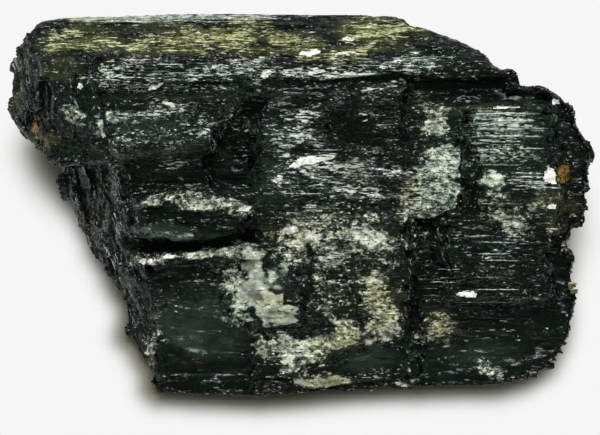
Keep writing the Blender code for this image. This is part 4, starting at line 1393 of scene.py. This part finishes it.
def makeRidges(tree, stone, name, placed, seed):
    shape = ridgeShape[name]
    rng = np.random.default_rng(seed)
    flat = drawn(pointsOf(stone))
    facing = facingOut(smoothNormals(stone, ridgeForm["smoothing"]))
    density = marksOf(stone, shape["on"]) ** shape["power"] * (facing > shape["facing"])
    lines = list(placed)
    for k in rng.choice(len(flat), shape["count"], p=density / density.sum()):
        length = rng.uniform(*shape["length"])
        width = rng.uniform(*shape["width"])
        lines.append((flat[k, 0] - length / 2, flat[k, 1], length, width, rng.random()))
    bm = bmesh.new()
    tones = bm.verts.layers.float.new("tone")
    for *line, tone in lines:
        sections = []
        for rim in ridgeSections(tree, rng, seed, line):
            sections.append([bm.verts.new(corner) for corner in rim])
            for vert in sections[-1]:
                vert[tones] = tone
        for one, other in zip(sections, sections[1:]):
            for k in range(4):
                bm.faces.new((one[k], other[k], other[(k + 1) % 4], one[(k + 1) % 4]))
        if sections:
            bm.faces.new(sections[0])
            bm.faces.new(sections[-1][::-1])
    return intoRow(bm, name)


grainShape = {  # where they grow, how many, how strictly there; size in mm, stretch and sink as shares of it
    "feldsparGrains": {
        "on": "crust",
        "count": 2200,
        "power": 2.5,
        "size": (0.10, 0.36),
        "stretch": (1.7, 1, 0.5),
        "sunk": 0.35,
    },
    "micaFlakes": {
        "on": "mica",
        "count": 1500,
        "power": 1.2,
        "size": (0.12, 0.42),
        "stretch": (4.5, 1, 0.22),
        "sunk": 0.15,
    },
    "splinters": {
        "on": "streak",
        "count": 3000,
        "power": 1,
        "size": (0.12, 0.3),
        "stretch": (7, 1, 0.7),
        "sunk": 0.05,
    },
}
grainLay = {
    "corners": 11,  # of a chip before its hull is taken
    "narrow": (1.8, 2.4),  # what a corner's distance is divided by
    "forms": 12,  # different chips
    "turn": 0.12,  # how far they turn away from x, and how far they tip
    "tip": 0.16,
    "proud": 0.25,  # share of the thickness that stands out when nothing is sunk
    "lowest": 0.6,  # mm above the floor
    "even": (0.8, 0.95),  # they stay off sharp edges, between these cosines of fine and smoothed normals
    "edgeOn": (0.12, 0.35),  # off what the drawing shows edge on, between these cosines to it
    "edgeLean": 0.12,  # with the outline's own facing at minus this
    "endOn": (0.4, 0.7),  # and off the ends, between these cosines to x
    "smoothing": (4, 14),  # rounds over the normals that they stand on, and that evenness is judged by
}


def chip(rng):  # a convex chip of about unit size
    bm = bmesh.new()
    corners = grainLay["corners"]
    points = rng.normal(size=(corners, 3))
    points /= np.linalg.norm(points, axis=1)[:, None] * rng.uniform(*grainLay["narrow"], (corners, 1))
    for point in points:
        bm.verts.new(point)
    hull = bmesh.ops.convex_hull(bm, input=bm.verts)
    inner = [g for g in hull["geom_interior"] if isinstance(g, bmesh.types.BMVert)]
    bmesh.ops.delete(bm, geom=inner, context="VERTS")
    bm.verts.index_update()
    bmesh.ops.recalc_face_normals(bm, faces=bm.faces)
    made = np.array([v.co for v in bm.verts]), np.array([[v.index for v in f.verts] for f in bm.faces])
    bm.free()
    return made


def grainChance(stone, shape, normals, triangles):  # how likely a grain is on each triangle
    points, weight = pointsOf(stone), marksOf(stone, shape["on"])
    a, b, c = (points[triangles[:, k]] for k in range(3))
    area = np.linalg.norm(np.cross(b - a, c - a), axis=1)
    above = points[triangles].mean(axis=1)[:, 2] > grainLay["lowest"] * mm
    chance = area * weight[triangles].mean(axis=1) ** shape["power"] * above
    even = (normalsOf(stone) * smoothNormals(stone, grainLay["smoothing"][1])).sum(axis=1)
    edgeOn = np.abs(facingOut(normals) + grainLay["edgeLean"])
    square = smoothstep(*grainLay["even"], even) * smoothstep(*grainLay["edgeOn"], edgeOn)
    endOn = smoothstep(*grainLay["endOn"], np.abs(normals[triangles, 0]).mean(axis=1))
    return chance * (square[triangles].min(axis=1) * (1 - endOn))


def scatter(stone, name, seed):
    shape = grainShape[name]
    rng = np.random.default_rng(seed)
    points, normals = pointsOf(stone), smoothNormals(stone, grainLay["smoothing"][0])
    triangles = np.empty(len(stone.data.polygons) * 3, int)
    stone.data.polygons.foreach_get("vertices", triangles)
    triangles = triangles.reshape(-1, 3)
    chance = grainChance(stone, shape, normals, triangles)
    picked = rng.choice(len(triangles), shape["count"], p=chance / chance.sum())
    forms = [chip(rng) for _ in range(grainLay["forms"])]
    verts, faces, tones, start = [], [], [], 0
    for t in picked:
        share = rng.dirichlet((1, 1, 1))
        place = share @ points[triangles[t]]
        up = Vector(share @ normals[triangles[t]]).normalized()
        along = Vector((1, rng.normal(0, grainLay["turn"]), rng.normal(0, grainLay["turn"])))
        along = along.cross(up).cross(up).normalized()
        up = (up + Vector(rng.normal(0, grainLay["tip"], 3))).normalized()
        side = up.cross(along).normalized()
        turn = np.array([side.cross(up), side, up])
        form, sides = forms[rng.integers(len(forms))]
        size = rng.uniform(*shape["size"]) * mm
        made = form * np.array(shape["stretch"]) * size @ turn
        made += place + np.array(up) * size * shape["stretch"][2] * (grainLay["proud"] - shape["sunk"])
        verts.append(made)
        faces.append(sides + start)
        tones.append(np.full(len(made), rng.random()))
        start += len(made)
    mesh = bpy.data.meshes.new(name)
    mesh.from_pydata(np.concatenate(verts).tolist(), [], np.concatenate(faces).tolist())
    mark(mesh, "tone", np.concatenate(tones))
    return newObject(name, mesh)


# What is laid or scattered: colours at the two ends of its tone, what is added to the tone, roughness.
grainFinish = {
    "feldsparGrains": ((0.03, 0.042, 0.026), (0.80, 0.88, 0.68), -0.2, 0.42),
    "micaFlakes": ((0.014, 0.017, 0.004), (0.76, 0.76, 0.44), -0.30, 0.30),
    # pale mica plates, and painted glints where flat facets flash
    "micaPlatesAndPaintedGlints": ((0.20, 0.23, 0.18), (0.97, 0.98, 0.90), 0.4, 0.22),
    # grey-teal painted sheen on black schorl plates
    "schorlPlatesPaintedSheen": ((0.016, 0.024, 0.019), (0.13, 0.165, 0.145), -0.1, 0.25),
    "amberGrains": ((0.030, 0.018, 0.005), (0.50, 0.31, 0.05), -0.1, 0.15),
    "micaThreads": ((0.10, 0.12, 0.025), (0.86, 0.88, 0.50), -0.12, 0.30),
    # the ridges' bright end is a painted glint along the crest
    "ridges": ((0.05, 0.068, 0.054), (0.78, 0.88, 0.81), -0.1, 0.25),
    "splinters": ((0.0036, 0.0052, 0.0038), (0.03, 0.042, 0.034), 0.0, 0.12),
}
grainSurface = {
    "mottle": (2.0, 4.0),  # how many to the mm, how detailed
    "mottleTone": 2.4,  # how far mottle moves the tone and the roughness
    "mottleRoughness": 0.2,
    "facetSize": (0.7, 0.3, 0.3),  # mm
    "facetSlope": 0.28,
    "ior": 1.55,
}


def grainMaterial(name, facets):
    dim, bright, bias, roughness = grainFinish[name]
    surface = grainSurface
    material, tree, shader = newMaterial(name)
    place = placeOf(tree)
    mottle = noiseOf(tree, place, *surface["mottle"])
    even = multiplyAdd(tree, mottle, surface["mottleTone"], bias - surface["mottleTone"] / 2)
    share = math2(tree, "ADD", attributeOf(tree, "tone"), even, clamp=True)
    tree.links.new(blend(tree, share, dim, bright), shader.inputs["Base Color"])
    vary = surface["mottleRoughness"]
    tree.links.new(multiplyAdd(tree, mottle, vary, roughness - vary / 2), shader.inputs["Roughness"])
    sockets = {"Place": place, "Size": surface["facetSize"], "Slope": surface["facetSlope"]}
    bumpFrom(tree, shader, useGroup(tree, facets, sockets)["Height"])
    shader.inputs["IOR"].default_value = surface["ior"]
    return material


def placeInFrame(pieces):  # the row frame to the CAD's: box middle on box middle, both standing on z = 0
    points = pointsOf(pieces[0])
    middle = (points.min(axis=0) + points.max(axis=0)) / 2
    shift = np.array((cadBox[0] + cadBox[1]) / 2) - middle
    shift[2] = -points[:, 2].min()
    for piece in pieces:
        setPoints(piece, pointsOf(piece) + shift)
    return Vector(shift)


paper = {
    # a dark warm colour that paints the shadow where the stone shades the paper
    "colour": (0.13, 0.125, 0.08),
    "darkened": 0.985,  # how much darker it is in places
    "darkening": (0.004, 2.0),  # how many to the mm, how detailed
    "roughness": 0.7,
    "glow": 0.92,  # how bright the lit paper shows where nothing shades it
    "shaded": (0.2, 0.78),  # share of open sky in full shade, and where no shade shows
    # painted contact shadow: it fades with distance from the stone
    "contact": (1.3, 3.3),  # mm from the stone, the same
    "reach": 3,  # m from the middle to the edge
    "fineReach": (0.060, 0.048),  # m that the fine grid reaches, and its lines
    "fineLines": (150, 120),
    "below": 0.0001,  # m under the stone
    "smoothing": 3,  # rounds over the shade
}
sky = {  # the part of the sky that shades the paper
    "from": (0, 0, 1),
    "spread": 0.12,
    "rays": 36,
    "turn": 2.39996,  # the golden angle from each ray to the next
}


def openSky(tree, points):  # the share of the sky above it that each point sees
    count = sky["rays"]
    turns = np.arange(count) * sky["turn"]
    height = 1 - sky["spread"] * (np.arange(count) + 0.5) / count
    reach = np.sqrt(1 - height**2)
    towards = Vector(sky["from"]).to_track_quat("Z", "Y")
    rays = []
    for turn, radius, up in zip(turns, reach, height):
        rays.append(towards @ Vector((radius * math.cos(turn), radius * math.sin(turn), up)))
    return np.array([sum(tree.ray_cast(Vector(p), ray)[0] is None for ray in rays) / count for p in points])


def floorLines(axis):
    reach, count = paper["fineReach"][axis], paper["fineLines"][axis]
    return np.array([-paper["reach"], *np.linspace(-reach, reach, count), paper["reach"]])


def openness(tree, points):  # 1 where the paper is lit, 0 where the stone shades it
    lit = np.ones(len(points))
    inner = np.abs(points).max(axis=1) < 1
    gap = np.array([tree.find_nearest(Vector(p))[3] for p in points[inner]]) / mm
    shade = smoothstep(*paper["shaded"], openSky(tree, points[inner]))
    lit[inner] = shade * smoothstep(*paper["contact"], gap)
    lit = lit.reshape(*(count + 2 for count in paper["fineLines"]))
    for _ in range(paper["smoothing"]):
        lit[1:-1, 1:-1] = (lit[1:-1, 1:-1] * 2 + lit[:-2, 1:-1] + lit[2:, 1:-1]
                            + lit[1:-1, :-2] + lit[1:-1, 2:]) / 6
    return lit.ravel()


def floorPaper():
    # Painted shadow: where the stone shades it the paper is dark and warm, lit by the lamps; elsewhere it
    # glows evenly.
    material, tree, shader = newMaterial("floorPaper")
    shade = noiseOf(tree, placeOf(tree), *paper["darkening"])
    dark = [paper["darkened"] * c for c in paper["colour"]]
    tree.links.new(blend(tree, shade, paper["colour"], dark), shader.inputs["Base Color"])
    shader.inputs["Roughness"].default_value = paper["roughness"]
    shader.inputs["Specular IOR Level"].default_value = 0
    glow = addNode(tree, "ShaderNodeEmission", {"Color": (1, 1, 1, 1), "Strength": paper["glow"]}).outputs[0]
    sockets = {0: attributeOf(tree, "open"), 1: shader.outputs[0], 2: glow}
    mixed = addNode(tree, "ShaderNodeMixShader", sockets).outputs[0]
    tree.links.new(mixed, tree.nodes["Material Output"].inputs["Surface"])
    return material


def makeFloor(tree):
    x, y = floorLines(0), floorLines(1)
    points = np.array([(a, b, -paper["below"]) for a in x for b in y])
    n = len(y)
    faces = []
    for i in range(len(x) - 1):
        for j in range(n - 1):
            faces.append((i * n + j, (i + 1) * n + j, (i + 1) * n + j + 1, i * n + j + 1))
    mesh = bpy.data.meshes.new("floor")
    mesh.from_pydata(points.tolist(), [], faces)
    mark(mesh, "open", openness(tree, points))
    mesh.materials.append(floorPaper())
    floor = newObject("floor", mesh)


light = {
    "world": (0.25, 1.14),  # from the side away from the window to the window's side
    "windowSide": (0, 0.35, 0.94),
    "worldEdge": (-0.1, 1.0),  # cosines to the window's side between which it brightens
    "awayTint": (1.0, 0.97, 0.84),
    "gloss": 0.17,  # what the stone mirrors, down to flagGloss around the camera's side
    "flagGloss": 0.012,
    "flagEdge": (0.45, 0.9),  # cosines to that side between which the flag starts
    "glossTint": (0.74, 1.0, 0.83, 1),
    "seen": 0.92,
    "overheadWatts": 4.5,
    "overheadSize": 0.38,
    "overheadPlace": (-0.03, 0.33, 0.94),
}
view = {
    "lens": 200,
    "sensor": 36,
    "width": 82.2,  # mm across the picture at the drawing's origin
    "elevation": 60,
}


def sideOfView():
    rise = math.radians(view["elevation"])
    return Vector((0, -math.cos(rise), math.sin(rise)))


def makeWorld():
    world = bpy.data.worlds.new("studio")
    bpy.context.scene.world = world
    world.use_nodes = True
    tree = world.node_tree
    direction = addNode(tree, "ShaderNodeTexCoord").outputs["Generated"]

    flagged = vectorMath(tree, "DOT_PRODUCT", direction, sideOfView())
    level = mapRange(tree, flagged, *light["flagEdge"], light["gloss"], light["flagGloss"])
    mirrored = addNode(tree, "ShaderNodeBackground", {"Color": light["glossTint"], "Strength": level})

    towards = vectorMath(tree, "DOT_PRODUCT", direction, light["windowSide"])
    towards = mapRange(tree, towards, *light["worldEdge"])
    away, window = light["world"]
    lit = tree.nodes["Background"]
    tree.links.new(blend(tree, towards, light["awayTint"], (1.0, 1.0, 1.0)), lit.inputs["Color"])
    tree.links.new(multiplyAdd(tree, towards, window - away, away), lit.inputs["Strength"])

    seen = addNode(tree, "ShaderNodeBackground", {"Color": (1, 1, 1, 1), "Strength": light["seen"]})
    path = addNode(tree, "ShaderNodeLightPath").outputs
    sockets = {0: path["Is Glossy Ray"], 1: lit.outputs[0], 2: mirrored.outputs[0]}
    mixed = addNode(tree, "ShaderNodeMixShader", sockets).outputs[0]
    sockets = {0: path["Is Camera Ray"], 1: mixed, 2: seen.outputs[0]}
    mixed = addNode(tree, "ShaderNodeMixShader", sockets).outputs[0]
    tree.links.new(mixed, tree.nodes["World Output"].inputs["Surface"])


def makeLight():
    lamp = bpy.data.lights.new("overhead", "AREA")
    lamp.shape = "RECTANGLE"
    lamp.energy = light["overheadWatts"]
    lamp.size = light["overheadSize"]
    lamp.size_y = light["overheadSize"]
    obj = newObject("overhead", lamp)
    obj.location = light["overheadPlace"]
    obj.rotation_mode = "QUATERNION"
    obj.rotation_quaternion = Vector(light["overheadPlace"]).to_track_quat("Z", "Y")


def makeCamera(aim):
    data = bpy.data.cameras.new("camera")
    data.lens = view["lens"]
    data.sensor_width = view["sensor"]
    camera = newObject("camera", data)
    back = sideOfView()
    camera.location = aim + back * (view["width"] * mm * view["lens"] / view["sensor"])
    camera.rotation_mode = "QUATERNION"
    camera.rotation_quaternion = back.to_track_quat("Z", "Y")
    bpy.context.scene.camera = camera
    bpy.context.scene.view_settings.view_transform = "Standard"


def main():
    speckle, striation, facets = speckleGroup(), striationGroup(), facetGroup()
    stone = makeStone()
    print("stone:", len(stone.data.polygons), "triangles")
    markStone(stone)
    stone.data.set_sharp_from_angle(angle=math.radians(stoneShape["sharpAngle"]))
    stone.data.materials.append(schorlMaterial(speckle, striation, facets))
    print("what grows on the stone is marked, and its material is made")
    pieces = [stone]
    tree = treeOf(stone)
    for number, kind in enumerate(laid):
        pieces.append(makeLaid(tree, kind, 21.0 + 10 * number))
    for number, kind in enumerate(grainShape):
        pieces.append(scatter(stone, kind, 5 + number))
    pieces.append(makeRidges(tree, stone, "ridges", ridges.values(), 9))
    pieces.append(makeRidges(tree, stone, "micaThreads", (), 10))
    for piece in pieces[1:]:
        piece.data.materials.append(grainMaterial(piece.name, facets))
        print(piece.name + ":", len(piece.data.polygons), "faces")
    shift = placeInFrame(pieces)
    for piece in pieces:
        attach(piece, "root")
    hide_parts(stoneNode)
    makeFloor(treeOf(stone))
    makeWorld()
    makeLight()
    makeCamera(Vector((0, 0, drawing["lift"] * mm)) + shift)
    print("floor, world, light and camera are in place")


main()
